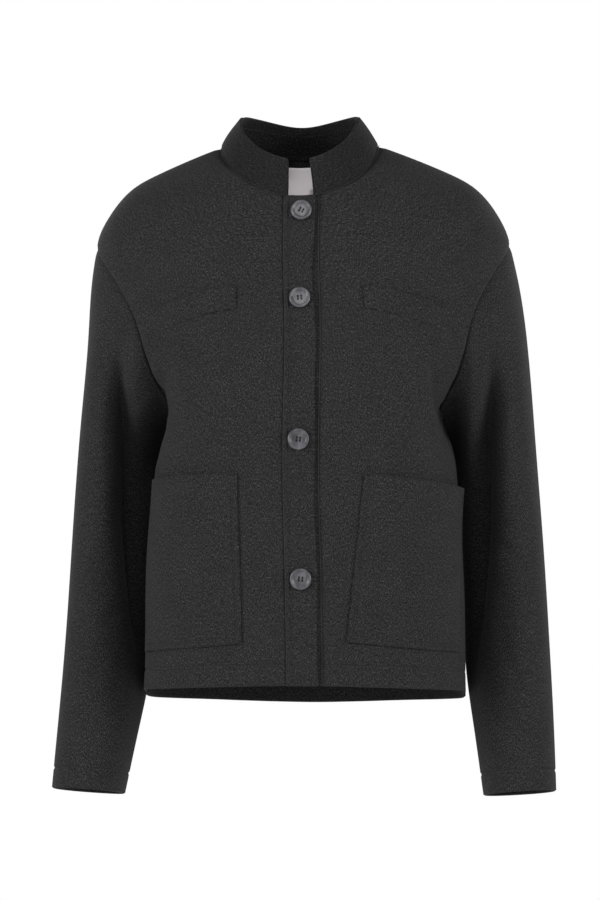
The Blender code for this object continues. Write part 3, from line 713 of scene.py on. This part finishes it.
HORN_TONES = ((0.28, (0.030, 0.029, 0.033)), (0.5, (0.066, 0.064, 0.072)), (0.74, (0.135, 0.131, 0.143)))
LINING_TONES = ((0.005, 0.0055, 0.008), (0.010, 0.011, 0.016))
LABEL_TONES = ((0.92, 0.86, 0.88), (0.98, 0.92, 0.94))
WOOL = wool_material("wool_heather", 0.0075, 0.0190, 0.044, 0.03)
# A darker copy of the same wool for the collar: painted shade, the collar's cloth drawn darker than the
# body's
WOOL_COLLAR_PAINTED_SHADE = wool_material("wool_heather_collar_painted_shade", 0.0045, 0.0122, 0.030, 0.03)
WOOL_INSIDE = wool_material("wool_heather_inside", 0.007, 0.017, 0.034, 0.02)
LINING = satin_material("lining_cloth", 0.0006, 40, LINING_TONES, 300, (0.2, 1.6, 1), (0.38, 0.52), 0.35)
LABEL = satin_material("label_ribbon", 0.0005, 90, LABEL_TONES, 420, (0.25, 1.5, 1), (0.42, 0.60), 0.5)
HORN = horn_material()
THREAD = thread_material("thread_charcoal", 0.005, 0.013)
# Near-black colour of the cords that paint the shadow down in the seams
SEAM_SHADOW_PAINT = thread_material("painted_seam_shadow", 0.0025, 0.006)
BUTTON_THREAD = thread_material("thread_black", 0.004, 0.010)


def edge_shares(count, crowd):
    """Shares from 0 to 1, closer together at both ends."""
    even = np.linspace(0, 1, count)
    return (1 - crowd) * even + crowd * (1 - np.cos(math.pi * even)) / 2


def crowded(even, line, clear, close):
    """Even places, with close ones about a line instead of those that lie nearer to it than clear."""
    return np.sort(np.concatenate([even[np.abs(even - line) > clear], line + close]))


def pinch(distance):
    """How far cloth is drawn in beside a seam, by its distance from it."""
    return -SEAM_PINCH * np.exp(-((distance / SEAM_PINCH_REACH) ** 2))


def stitch_dip(distance):
    """How far a row of stitches draws the cloth in, by the distance from it."""
    return -STITCH_DIP * np.exp(-((distance / STITCH_DIP_REACH) ** 2))


# Distances from a row of stitches at which the grids have close rows
HEM_CLOSE = np.array([-4, -2.2, -1.1, 0, 1.1, 2.2, 4])
BAND_CLOSE = np.array([-1.6, -0.8, 0, 0.8, 1.6])
POCKET_CLOSE = np.array([-1.8, -0.9, 0, 0.9, 1.8])
HEM_STITCH_ROW = ROW["hem"] + HEM_TURN
PANEL_ROWS = 150


def body_rows():
    """Section rows from hem to neck, with close rows at the hem's edge, its turn and its stitching."""
    even = np.linspace(ROW["hem"], ROW["neck"], PANEL_ROWS)
    rows = crowded(even, HEM_STITCH_ROW, 5.5, HEM_CLOSE)
    return np.sort(np.append(rows, [ROW["hem"] + 1.2, ROW["hem"] + 2.6]))


def hem_thickness(rows):
    """The wall at each row: double where the hem is turned up inside."""
    return np.where(rows <= HEM_STITCH_ROW + 0.5, 2 * CLOTH, CLOTH)


def at_armhole(rows):
    """1 for rows that end at the armhole and 0 elsewhere, with a soft change."""
    low, high = ROW["underarm"], ROW["sleeve_top"]
    return np.clip((rows - low) / 6, 0, 1) * np.clip((high - rows) / 6, 0, 1)


def panel(name, start, end, shares):
    """A body panel between two angles given for every row; only its outer columns follow the armhole."""
    rows = body_rows()
    start, end = start(rows), end(rows)
    share = shares[None, :]
    exact = start[:, None] * (1 - share) + end[:, None] * share
    calm = np.median(start) * (1 - share) + np.median(end) * share
    near_chest = np.exp(-(((rows - ROW["chest"]) / 120) ** 4))[:, None]
    pull = 0.8 * (1 - (2 * share - 1) ** 2) * near_chest
    theta = exact * (1 - pull) + calm * pull
    grid_rows = np.repeat(rows[:, None], len(shares), axis=1)
    u, _ = grid_lengths(form(theta, grid_rows))
    lift = stitch_dip(grid_rows - HEM_STITCH_ROW) + pinch(ROW["neck"] - grid_rows)
    below_arm = np.exp(-(((rows - ROW["below_arm"]) / 26) ** 2))
    raised = ((1 - 0.85 * at_armhole(rows)) * (1 - 0.85 * below_arm))[:, None]
    from_band = name != "back"
    lift = lift + pinch(u) * (1 if from_band else raised) + pinch(u[:, -1:] - u) * raised
    outer, normal = cloth(theta, grid_rows, lift)
    inner = outer - hem_thickness(rows)[:, None, None] * normal
    shell(name, outer, inner, WOOL)


def right_seam(rows):
    return theta_at_x(BAND_CENTRE(rows) + BAND_LEFT_EDGE - SEAM_GAP, rows)


def left_seam(rows):
    return theta_at_x(BAND_CENTRE(rows) + UNDER_BAND_SEAM + SEAM_GAP, rows)


panel("front_right", right_seam, lambda rows: -panel_edge(rows, True), edge_shares(74, 0.75))
panel("front_left", left_seam, lambda rows: panel_edge(rows, True), edge_shares(74, 0.75))
panel(
    "back",
    lambda rows: panel_edge(rows, False),
    lambda rows: 2 * math.pi - panel_edge(rows, False),
    edge_shares(124, 0.7),
)


def sleeve_grid(name, turns, rings, lift=0.0):
    """Points of a finished sleeve and their outward directions, on the wearer's left."""
    creases = SLEEVE_CREASES[name]
    head = armhole_loop(turns) - sleeve_points(turns, 0, {})
    fade = np.clip(1 - rings / HEAD_BLEND, 0, 1)
    blend = fade**2 * (3 - 2 * fade)
    calm = sleeve_points(turns[None, :], rings[:, None], {})
    detailed = sleeve_points(turns[None, :], rings[:, None], creases)
    settle = np.clip(rings / 0.25, 0, 1)[:, None, None]
    outer = calm + (detailed - calm) * settle + head[None] * blend[:, None, None]
    along = np.gradient(outer, axis=0)
    around = np.roll(outer, -1, axis=1) - np.roll(outer, 1, axis=1)
    normal = unit(np.cross(around, along))
    normal *= np.sign(np.einsum("ijk,ijk->ij", normal, outer - outer.mean(axis=1, keepdims=True)).sum())
    return outer + np.asarray(lift)[..., None] * normal, normal


CUFF_RING_LENGTH = SLEEVE_RINGS[-2][2] - SLEEVE_RINGS[-1][2]
LAST_RING = len(SLEEVE_RINGS) - 1
CUFF_STITCH_RING = LAST_RING - CUFF_TURN / CUFF_RING_LENGTH
SLEEVE_TURNS = np.linspace(0, 2 * math.pi, 120, endpoint=False)


def sleeve(name, side):
    """A sleeve with close rings at the cuff's edge and stitching, and double cloth below its stitches."""
    even = np.linspace(0, 1, 140) ** 1.1 * LAST_RING
    rings = crowded(even, CUFF_STITCH_RING, 0.08, HEM_CLOSE / CUFF_RING_LENGTH)
    rings = np.sort(np.append(rings, [LAST_RING - 0.04, LAST_RING - 0.018]))
    sunk = HEAD_STEP * np.exp(-((rings / HEAD_STEP_RINGS) ** 2))
    lift = (stitch_dip((rings - CUFF_STITCH_RING) * CUFF_RING_LENGTH) - sunk)[:, None] + 0 * SLEEVE_TURNS
    outer, normal = sleeve_grid(name, SLEEVE_TURNS, rings, lift)
    thick = np.where(rings >= CUFF_STITCH_RING - 0.01, 2 * CLOTH, CLOTH)
    inner = outer - thick[:, None, None] * normal
    mirror = np.array([side, 1, 1])
    shell(name, outer * mirror, inner * mirror, WOOL, closed=True)


for sleeve_name, sleeve_side in SLEEVES.items():
    sleeve(sleeve_name, sleeve_side)


def collar_grid(theta, shares):
    """Outside of the collar from the neck seam to its top edge, and its outward directions."""
    seam_normal = form_normal(theta, ROW["neck"])
    rise = unit(form(theta, ROW["neck"]) - form(theta, ROW["neck"] - 0.05))
    base = form(theta, ROW["neck"]) + SEAM_GAP * rise + pinch(0) * seam_normal
    tilt = np.where(np.cos(theta) >= 0, COLLAR_TOP_TILT["front"], COLLAR_BACK_FALL)
    high = ring_point(theta, square=COLLAR_TOP_SQUARE, tilt=tilt, **COLLAR_TOP)
    from_side = np.degrees(np.arccos(np.clip(np.abs(np.sin(theta)), 0, 1)))
    high[:, 2] -= COLLAR_PEAK_ROUND * np.exp(-((from_side / COLLAR_PEAK_TURN) ** 2))
    high[:, 2] += COLLAR_PEAK_RISE * np.abs(np.sin(theta)) ** np.where(np.cos(theta) >= 0, 8, 1.6)
    wide = COLLAR_SIDE_FULL * np.abs(np.sin(theta)) ** 4
    outer = []
    for share in shares:
        level = base * (1 - share) + high * share
        out = unit(level * [1, 1, 0])
        wave = 0.5 * np.sin(3 * theta + 4 * share) * share
        ease = SEAM_PINCH * (1 - np.exp(-((share * 35 / SEAM_PINCH_REACH) ** 2)))
        bow = wave + ease + (wide - COLLAR_BULGE) * math.sin(math.pi * share)
        outer.append(level + out * bow[:, None])
    outer = np.array(outer)
    normal = unit(np.cross(np.gradient(outer, axis=1), np.gradient(outer, axis=0)))
    normal[0] = seam_normal
    return outer, normal


def collar_arc(count, past=0.0):
    """The collar's ends, from the wearer's left round the back, or past them, and angles between."""
    start = theta_at_x(COLLAR_END_LEFT - past, ROW["neck"])
    end = 2 * math.pi + theta_at_x(COLLAR_END_RIGHT + past, ROW["neck"])
    return start, end, np.linspace(start, end, count)


def collar():
    start, end, _ = collar_arc(2)
    theta = start + (end - start) * edge_shares(200, 0.3)
    outer, normal = collar_grid(theta, edge_shares(18, 0.5))
    # The collar takes the darker copy of the wool, as painted shade
    shell("collar", outer, outer - COLLAR_CLOTH * normal, WOOL_COLLAR_PAINTED_SHADE, round_edge=0.5)


collar()


BAND_ROWS = np.linspace(ROW["hem"], ROW["neck"], 170)
FREE_EDGE_DRIFT = spline(
    (ROW["hem"], -530, -450, -400, -340, -290, -230, -180, -140, -100, -60, ROW["neck"]),
    (-0.8, -1.6, -0.4, -1.2, -0.6, -0.3, -1.4, -0.8, -2.2, -3.6, -0.8, -0.4),
)


def band_grid(edges, loose=0.0):
    """Angles and rows of a front band from hem to neck for x offsets across it; loose lets an edge drift."""
    x = np.asarray(edges)[None, :] + BAND_CENTRE(BAND_ROWS)[:, None]
    x = x + FREE_EDGE_DRIFT(BAND_ROWS)[:, None] * np.asarray(loose)
    grid_rows = np.repeat(BAND_ROWS[:, None], x.shape[1], axis=1)
    return theta_at_x(x, grid_rows), grid_rows


def free_edge_wave(rows):
    """How the free edge of the buttoning band lifts between its buttons."""
    return 0.55 + 0.5 * np.sin(rows * 0.043 + 0.7) + 0.3 * np.sin(rows * 0.095 + 2.0)


BAND_STITCH = BAND_LEFT_EDGE + BAND_STITCH_INSET


def band_over():
    width = BAND_RIGHT_EDGE - BAND_LEFT_EDGE
    edges = crowded(BAND_LEFT_EDGE + width * edge_shares(18, 0.5), BAND_STITCH, 2, BAND_CLOSE)
    across = ((edges - BAND_LEFT_EDGE) / width)[None, :]
    theta, rows = band_grid(edges, across**4)
    lift = BAND_PROUD + free_edge_wave(rows) * across**3 + stitch_dip(edges - BAND_STITCH)
    lift = lift + pinch(edges - BAND_LEFT_EDGE) + pinch(ROW["neck"] - rows)
    outer, normal = cloth(theta, rows, lift)
    shell("band_over", outer, outer - BAND_CLOTH * normal, WOOL, round_edge=0.5)


def band_under():
    """The sunk band under the buttoning one, which climbs a step beside its free edge to its own seam."""
    step_start = BAND_RIGHT_EDGE + 1
    step_run = step_start + np.linspace(0, UNDER_BAND_STEP, 4)
    edges = np.array([UNDER_BAND_EDGE, -8, 0, 8, 13, *step_run[:-1], 18.8, 19.4, UNDER_BAND_SEAM])
    theta, rows = band_grid(edges)
    climb = np.clip((edges - step_start) / UNDER_BAND_STEP, 0, 1)
    lift = -UNDER_BAND_SUNK * (1 - climb) + pinch(UNDER_BAND_SEAM - edges) + 0 * rows
    outer, normal = cloth(theta, rows, lift)
    shell("band_under", outer, outer - UNDER_BAND_CLOTH * normal, WOOL, round_edge=0.4)


band_over()
band_under()


def pocket_surface(pocket, along, down, lift=0.0):
    """Points of a pocket's outside at shares along its width and down its height, and their directions."""
    along, down = together(along, down)
    inner = pocket["inner_top"] + (pocket["inner_bottom"] - pocket["inner_top"]) * down
    top = pocket["top_in"] + (pocket["top_out"] - pocket["top_in"]) * along
    fall = pocket["fall_in"] + (pocket["fall_out"] - pocket["fall_in"]) * along
    theta, row = on_level(inner + POCKET_WIDTH * along, top - fall * down)
    fullness = np.sin(math.pi * along) ** 0.7 * (1 - down**3)
    stand = PATCH_GAP + pocket["gape"] * fullness + pocket["corner"] * along**4 * (1 - down) ** 3
    side, swell = pocket["side"], np.sin(math.pi * along)
    waves = 0.5 * np.sin(7 * along + 3 * down + 1.3 * side) * swell
    waves = waves + 0.6 * np.sin(4.2 * down - 5.1 * along + side) * (1 - down) * swell
    return cloth(theta * side, row, stand + waves + POCKET_CLOTH + lift)


def pocket_dips(pocket, along, down):
    """How the stitches near the sides and bottom draw the pocket in."""
    from_side = np.minimum(along, 1 - along) * POCKET_WIDTH
    from_bottom = (1 - down) * (pocket["fall_in"] + pocket["fall_out"]) / 2
    return stitch_dip(np.minimum(from_side, from_bottom) - POCKET_STITCH_INSET)


POCKET_SIDE_STITCH = POCKET_STITCH_INSET / POCKET_WIDTH
POCKET_FOOT_STITCH = 1 - POCKET_STITCH_INSET / POCKET_STITCH_HEIGHT
POCKET_CLEAR = 2.2


def pockets():
    along = edge_shares(52, 0.3)
    for line in (POCKET_SIDE_STITCH, 1 - POCKET_SIDE_STITCH):
        along = crowded(along, line, POCKET_CLEAR / POCKET_WIDTH, POCKET_CLOSE / POCKET_WIDTH)
    clear, close = POCKET_CLEAR / POCKET_STITCH_HEIGHT, POCKET_CLOSE / POCKET_STITCH_HEIGHT
    along, down = along[None, :], crowded(edge_shares(58, 0.3), POCKET_FOOT_STITCH, clear, close)[:, None]
    for name, pocket in POCKET.items():
        outer, normal = pocket_surface(pocket, along, down, pocket_dips(pocket, along, down))
        shell(name, outer, outer - POCKET_CLOTH * normal, WOOL, round_edge=0.45)


pockets()


def welt_surface(side, along, down, lift=0.0):
    """Points of a chest welt's outside, and their directions."""
    along, down = together(along, down)
    height = WELT_TOP_INNER + (WELT_TOP_OUTER - WELT_TOP_INNER) * along**1.5 - WELT_HEIGHT * down
    theta, row = on_level(WELT_INNER + WELT_LENGTH * along, height)
    return cloth(theta * side, row, PATCH_GAP + WELT_CLOTH + lift)


def welts():
    along, down = edge_shares(56, 0.3)[None, :], edge_shares(16, 0.4)[:, None]
    for name, side in WELTS.items():
        sewn = 0.3 * pinch((1 - down) * WELT_HEIGHT) - 0.9 * down - 0.7 * along**2
        outer, normal = welt_surface(side, along, down, sewn)
        shell(name, outer, outer - WELT_CLOTH * normal, WOOL, round_edge=0.45)


welts()


def behind(name, rows, theta, depth, thick, finish, slot):
    """A piece inside the back at a depth under the cloth's outside."""
    theta, grid_rows = np.broadcast_arrays(theta, rows[:, None])
    point, normal = cloth(theta, grid_rows, -depth)
    shell(name, point, point - thick * normal, finish)


def across_back(rows):
    """Angles across the inside of the back at each row, clear of its seams."""
    edge = panel_edge(rows, False)[:, None] + math.radians(INSIDE_EDGE_TURN)
    return edge + (2 * math.pi - 2 * edge) * edge_shares(80, 0.3)[None, :]


def inside_pieces():
    """Back neck facing, back lining down to the turned hem, and the bare label on the facing."""
    depth = CLOTH + INSIDE_GAP
    facing_low = ROW["neck"] + (ROW["sleeve_top"] - ROW["neck"]) * FACING_BOTTOM_SHARE
    rows = np.linspace(facing_low, ROW["neck"], 26)
    behind("facing_back_neck", rows, across_back(rows), depth, FACING_CLOTH, WOOL_INSIDE, "wool_inside")
    rows = np.linspace(HEM_STITCH_ROW + 2, facing_low - 1, 90)
    behind("lining_back", rows, across_back(rows), depth, LINING_CLOTH, LINING, "lining")
    top = SECTIONS["neck"][2] - LABEL_DROP
    rows = row_at_height(math.pi, np.linspace(top - LABEL_HEIGHT, top, 20))
    half = math.radians(LABEL_HALF_ANGLE)
    theta = np.linspace(math.pi - half, math.pi + half, 28)[None, :]
    behind("label", rows, theta, depth + FACING_CLOTH + INSIDE_GAP, LABEL_CLOTH, LABEL, "label")


inside_pieces()


def walk(points, normals, pitch):
    """Points and directions at even steps along a path."""
    steps = np.concatenate([[0], np.cumsum(np.linalg.norm(np.diff(points, axis=0), axis=-1))])
    stops = np.arange(0, steps[-1], pitch)
    at = np.stack([np.interp(stops, steps, points[:, k]) for k in range(3)], axis=-1)
    facing = np.stack([np.interp(stops, steps, normals[:, k]) for k in range(3)], axis=-1)
    return at, unit(facing)


def circle(centre, right, up, radius, sides=THREAD_SIDES):
    """Points of a circle about a centre, in the plane of two directions."""
    turns = np.linspace(0, 2 * math.pi, sides, endpoint=False)
    return [centre + radius * (math.cos(turn) * right + math.sin(turn) * up) for turn in turns]


def tube_sides(start, rings, sides):
    """Faces between rings of points, counted from a first point."""
    faces = []
    for low in range(start, start + (rings - 1) * sides, sides):
        for j in range(sides):
            a, b = low + j, low + (j + 1) % sides
            faces.append((a, b, b + sides, a + sides))
    return faces


def thread_faces(start, rings):
    """Faces of a thread with closed ends."""
    last = start + (rings - 1) * THREAD_SIDES
    ends = [tuple(range(start, start + THREAD_SIDES))[::-1], tuple(range(last, last + THREAD_SIDES))]
    return tube_sides(start, rings, THREAD_SIDES) + ends


def stitch_row(name, paths):
    """A row of lockstitches along paths of points and outward directions: each an arched bead of thread."""
    points, faces = [], []
    every, reach = STITCH_PITCH / STITCH_STEP, STITCH_LENGTH / STITCH_STEP
    for path, normals in paths:
        at, facing = walk(path, normals, STITCH_STEP)
        for k in range(int((len(at) - reach - 1) / every)):
            faces += thread_faces(len(points), len(STITCH_SHAPE))
            for share, height, girth in STITCH_SHAPE:
                index = int(round(k * every + share * reach))
                ahead = unit(at[min(index + 2, len(at) - 1)] - at[max(index - 2, 0)])
                side = unit(np.cross(ahead, facing[index]))
                centre = at[index] + facing[index] * height
                points += circle(centre, side, facing[index], THREAD_RADIUS * girth)
    made = mesh_object(name, leant(points), faces, None, THREAD)


def seam_shadow_cord(name, paths, radius=SEAM_SHADOW_RADIUS):
    """Painted seam shadow: a near-black fine cord along paths of points and outward directions, drawing the
    dark line down in a seam.
    """
    points, faces = [], []
    for path, normals in paths:
        at, facing = walk(path, normals, SEAM_SHADOW_STEP)
        side = unit(np.cross(np.gradient(at, axis=0), facing))
        faces += thread_faces(len(points), len(at))
        for centre, across, out in zip(at, side, facing):
            points += circle(centre, across, out, radius)
    made = mesh_object(name, leant(points), faces, None, SEAM_SHADOW_PAINT)


def seam_shadow_lines():
    """Painted shadow lines, as near-black cords, in the neck, band and armhole seams, and beside the welts
    and pockets.
    """
    seam_shadow_cord("seam_neck", [cloth(collar_arc(240)[2], ROW["neck"], pinch(0.0) + 0.9)])
    for name, (x, depth) in BAND_SEAM_SHADOWS.items():
        point, normal = cloth(*band_grid([x]), -depth)
        seam_shadow_cord(name, [(point[:, 0], normal[:, 0])])
    for name, side in SLEEVES.items():
        mirror = np.array([side, 1, 1])
        _, normal = sleeve_grid(name, SLEEVE_TURNS, np.array([0.0, 0.02, 0.04]))
        loop = armhole_loop(SLEEVE_TURNS) - normal[0]
        around = np.append(np.arange(len(loop)), 0)
        seam_shadow_cord(f"seam_{name}", [(loop[around] * mirror, normal[0][around] * mirror)], 0.7)
    run = np.linspace(0, 1, 60)
    for name, side in WELTS.items():
        sunk = -PATCH_GAP - WELT_CLOTH + 0.35
        seam_shadow_cord(f"seam_{name}", [welt_surface(side, 0, run, sunk), welt_surface(side, run, 1, sunk)])
        seam_shadow_cord(f"seam_{name}_top", [welt_surface(side, run, 0, sunk)], 0.3)
    for name, pocket in POCKET.items():
        sunk = -POCKET_CLOTH - PATCH_GAP + 0.3
        edges = [pocket_surface(pocket, share, run, sunk) for share in (0, 1)]
        seam_shadow_cord(f"seam_{name}", [*edges, pocket_surface(pocket, run, 1, sunk)], 0.6)


def hem_stitches():
    """The hem's row on both fronts and the back, stopping a hundredth of a radian short of the seams."""
    row, short = np.array([HEM_STITCH_ROW]), 0.01
    edge, back_edge = panel_edge(row, True)[0], panel_edge(row, False)[0]
    left = np.linspace(left_seam(row)[0] + short, edge - short, 120)
    right = np.linspace(right_seam(row)[0] - short, short - edge, 120)
    back = np.linspace(back_edge + short, 2 * math.pi - back_edge - short, 240)
    stitch_row("stitches_hem", [cloth(theta, row[0], stitch_dip(0.0)) for theta in (left, right, back)])


def cuff_stitches():
    rings = CUFF_STITCH_RING + np.array([-0.02, 0, 0.02])
    lift = np.full((3, len(SLEEVE_TURNS)), stitch_dip(0.0))
    for name, side in SLEEVES.items():
        outer, normal = sleeve_grid(name, SLEEVE_TURNS, rings, lift)
        mirror = np.array([side, 1, 1])
        stitch_row(f"stitches_{name}", [(outer[1] * mirror, normal[1] * mirror)])


def band_stitches():
    point, normal = cloth(*band_grid([BAND_STITCH]), BAND_PROUD + stitch_dip(0.0))
    stitch_row("stitches_band", [(point[2:-2, 0], normal[2:-2, 0])])


def pocket_stitches():
    """One row down a side, along the foot and up the other side."""
    side_run = np.linspace(0.01, POCKET_FOOT_STITCH, 90)
    foot_run = np.linspace(POCKET_SIDE_STITCH, 1 - POCKET_SIDE_STITCH, 80)[1:-1]
    one_side = np.full(side_run.shape, POCKET_SIDE_STITCH)
    along = np.concatenate([one_side, foot_run, 1 - one_side])
    down = np.concatenate([side_run, np.full(foot_run.shape, POCKET_FOOT_STITCH), side_run[::-1]])
    for name, pocket in POCKET.items():
        stitch_row(f"stitches_{name}", [pocket_surface(pocket, along, down, stitch_dip(0.0))])


def collar_stitches():
    """The row inside the collar that holds its turned-over top edge."""
    theta = collar_arc(240, 2)[2]
    outer, normal = collar_grid(theta, np.array([0.70, 0.74, 0.78]))
    stitch_row("stitches_collar", [(outer[1] - COLLAR_CLOTH * normal[1], -normal[1])])


seam_shadow_lines()
hem_stitches()
cuff_stitches()
band_stitches()
pocket_stitches()
collar_stitches()


def button_seat(height, aside):
    """Centre, axis, right and up of a button on the band, in metres and as directions."""
    row = row_at_height(0.0, height)
    x = float(BAND_CENTRE(row)) + 0.5 * (BAND_LEFT_EDGE + BAND_RIGHT_EDGE) + aside
    theta = theta_at_x(x, row)
    point, axis = cloth(theta, row, BAND_PROUD + 1.0)
    across = unit(np.cross([0, 0, 1], axis))
    return leant(point), axis, across, np.cross(axis, across)


BUTTON_PROFILE = (
    (0.00, 0.00), (0.72, 0.00), (0.84, 0.06), (0.93, 0.22), (0.985, 0.42), (1.00, 0.60), (0.99, 0.76),
    (0.955, 0.90), (0.90, 0.98), (0.84, 1.00), (0.79, 0.94), (0.75, 0.78), (0.71, 0.63), (0.66, 0.56),
    (0.56, 0.53), (0.42, 0.51), (0.26, 0.50), (0.00, 0.495),
)
BUTTON_SEGMENTS = 72


def turned_button(name):
    """A turned button about +Z in metres, before its holes are drilled."""
    points = []
    for share, rise in BUTTON_PROFILE[1:-1]:
        for turn in np.linspace(0, 2 * math.pi, BUTTON_SEGMENTS, endpoint=False):
            radius = share * BUTTON_RADIUS * MM
            points.append((radius * math.cos(turn), radius * math.sin(turn), rise * BUTTON_THICK * MM))
    rings = len(BUTTON_PROFILE) - 2
    faces = tube_sides(0, rings, BUTTON_SEGMENTS)
    foot, face = len(points), len(points) + 1
    points += [(0, 0, 0), (0, 0, BUTTON_PROFILE[-1][1] * BUTTON_THICK * MM)]
    top = (rings - 1) * BUTTON_SEGMENTS
    for j in range(BUTTON_SEGMENTS):
        following = (j + 1) % BUTTON_SEGMENTS
        faces.append((foot, following, j))
        faces.append((face, top + j, top + following))
    mesh = bpy.data.meshes.new(name)
    mesh.from_pydata(points, [], faces)
    made = bpy.data.objects.new(name, mesh)
    bpy.context.scene.collection.objects.link(made)
    return made


def drilled(made):
    """Drills the four sewing holes into a turned button."""
    cutters = []
    for x in (-HOLE_OFFSET, HOLE_OFFSET):
        for y in (-HOLE_OFFSET, HOLE_OFFSET):
            bpy.ops.mesh.primitive_cylinder_add(
                vertices=20, radius=HOLE_RADIUS * MM, depth=0.02, location=(x * MM, y * MM, 0.0)
            )
            cutter = bpy.context.object
            drill = made.modifiers.new("hole", "BOOLEAN")
            drill.operation = "DIFFERENCE"
            drill.solver = "EXACT"
            drill.object = cutter
            cutters.append(cutter)
    graph = bpy.context.evaluated_depsgraph_get()
    mesh = bpy.data.meshes.new_from_object(made.evaluated_get(graph))
    made.modifiers.clear()
    made.data = mesh
    for cutter in cutters:
        bpy.data.objects.remove(cutter, do_unlink=True)


# Strands of each bar of button thread: shift to the side and extra height; then their rings and radius
BAR_STRANDS = ((-0.42, 0.0), (0.0, 0.12), (0.42, 0.02))
BAR_RINGS = 11
BAR_RADIUS = 0.30


def thread_bars(name, centre, axes):
    """The two parallel bars of thread that hold a button, each several strands from hole to hole."""
    local, faces = [], []
    face_height = BUTTON_PROFILE[-1][1] * BUTTON_THICK
    for x in (-HOLE_OFFSET, HOLE_OFFSET):
        for aside, over in BAR_STRANDS:
            faces += thread_faces(len(local), BAR_RINGS)
            for share in np.linspace(0, 1, BAR_RINGS):
                high = face_height - 1.2 + (1.62 + over) * math.sin(math.pi * share) ** 0.35
                middle = np.array([x + aside * 0.9, HOLE_OFFSET * (2 * share - 1), high])
                slope = math.cos(math.pi * share)
                lean = unit(np.array([0, -slope * 0.8, 1 - abs(slope) * 0.4]))
                local += circle(middle, np.array([1, 0, 0]), lean, BAR_RADIUS)
    made = mesh_object(name, centre + np.array(local) @ axes.T * MM, faces, None, BUTTON_THREAD)


def buttons():
    for number, (height, aside, twist) in enumerate(BUTTONS, 1):
        centre, axis, across, up = button_seat(height, aside)
        turn = math.radians(twist)
        right = math.cos(turn) * across + math.sin(turn) * up
        axes = np.stack([right, np.cross(axis, right), axis], axis=-1)
        made = turned_button(f"button_{number}_turned")
        drilled(made)
        places = centre + np.array([vertex.co[:] for vertex in made.data.vertices]) @ axes.T
        made.data.vertices.foreach_set("co", places.ravel())
        made.data.update()
        made.data.shade_smooth()
        made.data.set_sharp_from_angle(angle=math.radians(42))
        made.data.materials.clear()
        made.data.materials.append(HORN)
        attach(made, "root")
        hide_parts(f"button_{number}")
        thread_bars(f"button_{number}_thread", centre, axes)


buttons()


def surround():
    """A white backdrop for the eye that gives the cloth only a low even light."""
    world = bpy.data.worlds.new("white_surround")
    world.use_nodes = True
    nodes, links = world.node_tree.nodes, world.node_tree.links
    glow = nodes["Background"]
    glow.inputs["Color"].default_value = (1, 1, 1, 1)
    glow.inputs["Strength"].default_value = EVEN_LIGHT
    backdrop = nodes.new("ShaderNodeBackground")
    backdrop.inputs["Color"].default_value = (1, 1, 1, 1)
    backdrop.inputs["Strength"].default_value = 1.0
    rays = nodes.new("ShaderNodeLightPath")
    choice = nodes.new("ShaderNodeMixShader")
    links.new(rays.outputs["Is Camera Ray"], choice.inputs[0])
    links.new(glow.outputs[0], choice.inputs[1])
    links.new(backdrop.outputs[0], choice.inputs[2])
    links.new(choice.outputs[0], nodes["World Output"].inputs["Surface"])
    bpy.context.scene.world = world


def pale_floor():
    bpy.ops.mesh.primitive_plane_add(size=FLOOR_SIZE, location=(0, 0, FLOOR_HEIGHT))
    floor = bpy.context.object
    floor.name = "studio_floor"
    made = Finish("pale_floor")
    grain = made.noise(made.place, 60, 2.0)
    made.feed("Base Color", made.ramp(grain, (0.3, 0.86), (0.7, 0.90)))
    made.shader.inputs["Roughness"].default_value = 0.9
    floor.data.materials.append(made.material)


def aimed_lamp(name, kind, watts, place, aim):
    """A lamp at a place, pointed at its aim."""
    lamp = bpy.data.lights.new(name, kind)
    lamp.energy = watts
    holder = bpy.data.objects.new(name, lamp)
    holder.location = place
    holder.rotation_euler = (Vector(aim) - Vector(place)).to_track_quat("-Z", "Y").to_euler()
    bpy.context.scene.collection.objects.link(holder)
    return lamp


def lamps():
    """Soft lamps round the jacket, and the narrow one on the label."""
    for name, (azimuth, elevation, distance, size, watts) in LAMPS.items():
        turn, climb = math.radians(azimuth), math.radians(elevation)
        away = Vector((math.sin(turn) * math.cos(climb), -math.cos(turn) * math.cos(climb), math.sin(climb)))
        aimed_lamp(name, "AREA", watts, Vector(LAMP_AIM) + distance * away, LAMP_AIM).size = size
    beam = aimed_lamp("neck_lamp", "SPOT", NECK_LAMP["watts"], NECK_LAMP["place"], NECK_LAMP["aim"])
    beam.spot_size = math.radians(NECK_LAMP["cone"])
    beam.spot_blend = 1.0
    beam.shadow_soft_size = NECK_LAMP["radius"]


def picture_camera():
    """A camera at the picture's angle, with the picture's frame at the jacket."""
    yaw = math.radians(CAMERA_YAW)
    lens = bpy.data.cameras.new("camera")
    lens.sensor_fit = "VERTICAL"
    lens.sensor_height = SENSOR_HEIGHT
    lens.lens = SENSOR_HEIGHT * CAMERA_DISTANCE / FRAME_HEIGHT
    camera = bpy.data.objects.new("camera", lens)
    camera.rotation_euler = (math.pi / 2, 0, yaw)
    camera.location = (
        CAMERA_DISTANCE * math.sin(yaw) - AXIS_OFF_CENTRE * math.cos(yaw),
        -CAMERA_DISTANCE * math.cos(yaw) - AXIS_OFF_CENTRE * math.sin(yaw),
        CAMERA_HEIGHT,
    )
    bpy.context.scene.collection.objects.link(camera)
    bpy.context.scene.camera = camera
    bpy.context.scene.view_settings.view_transform = "Standard"


pale_floor()
surround()
lamps()
picture_camera()
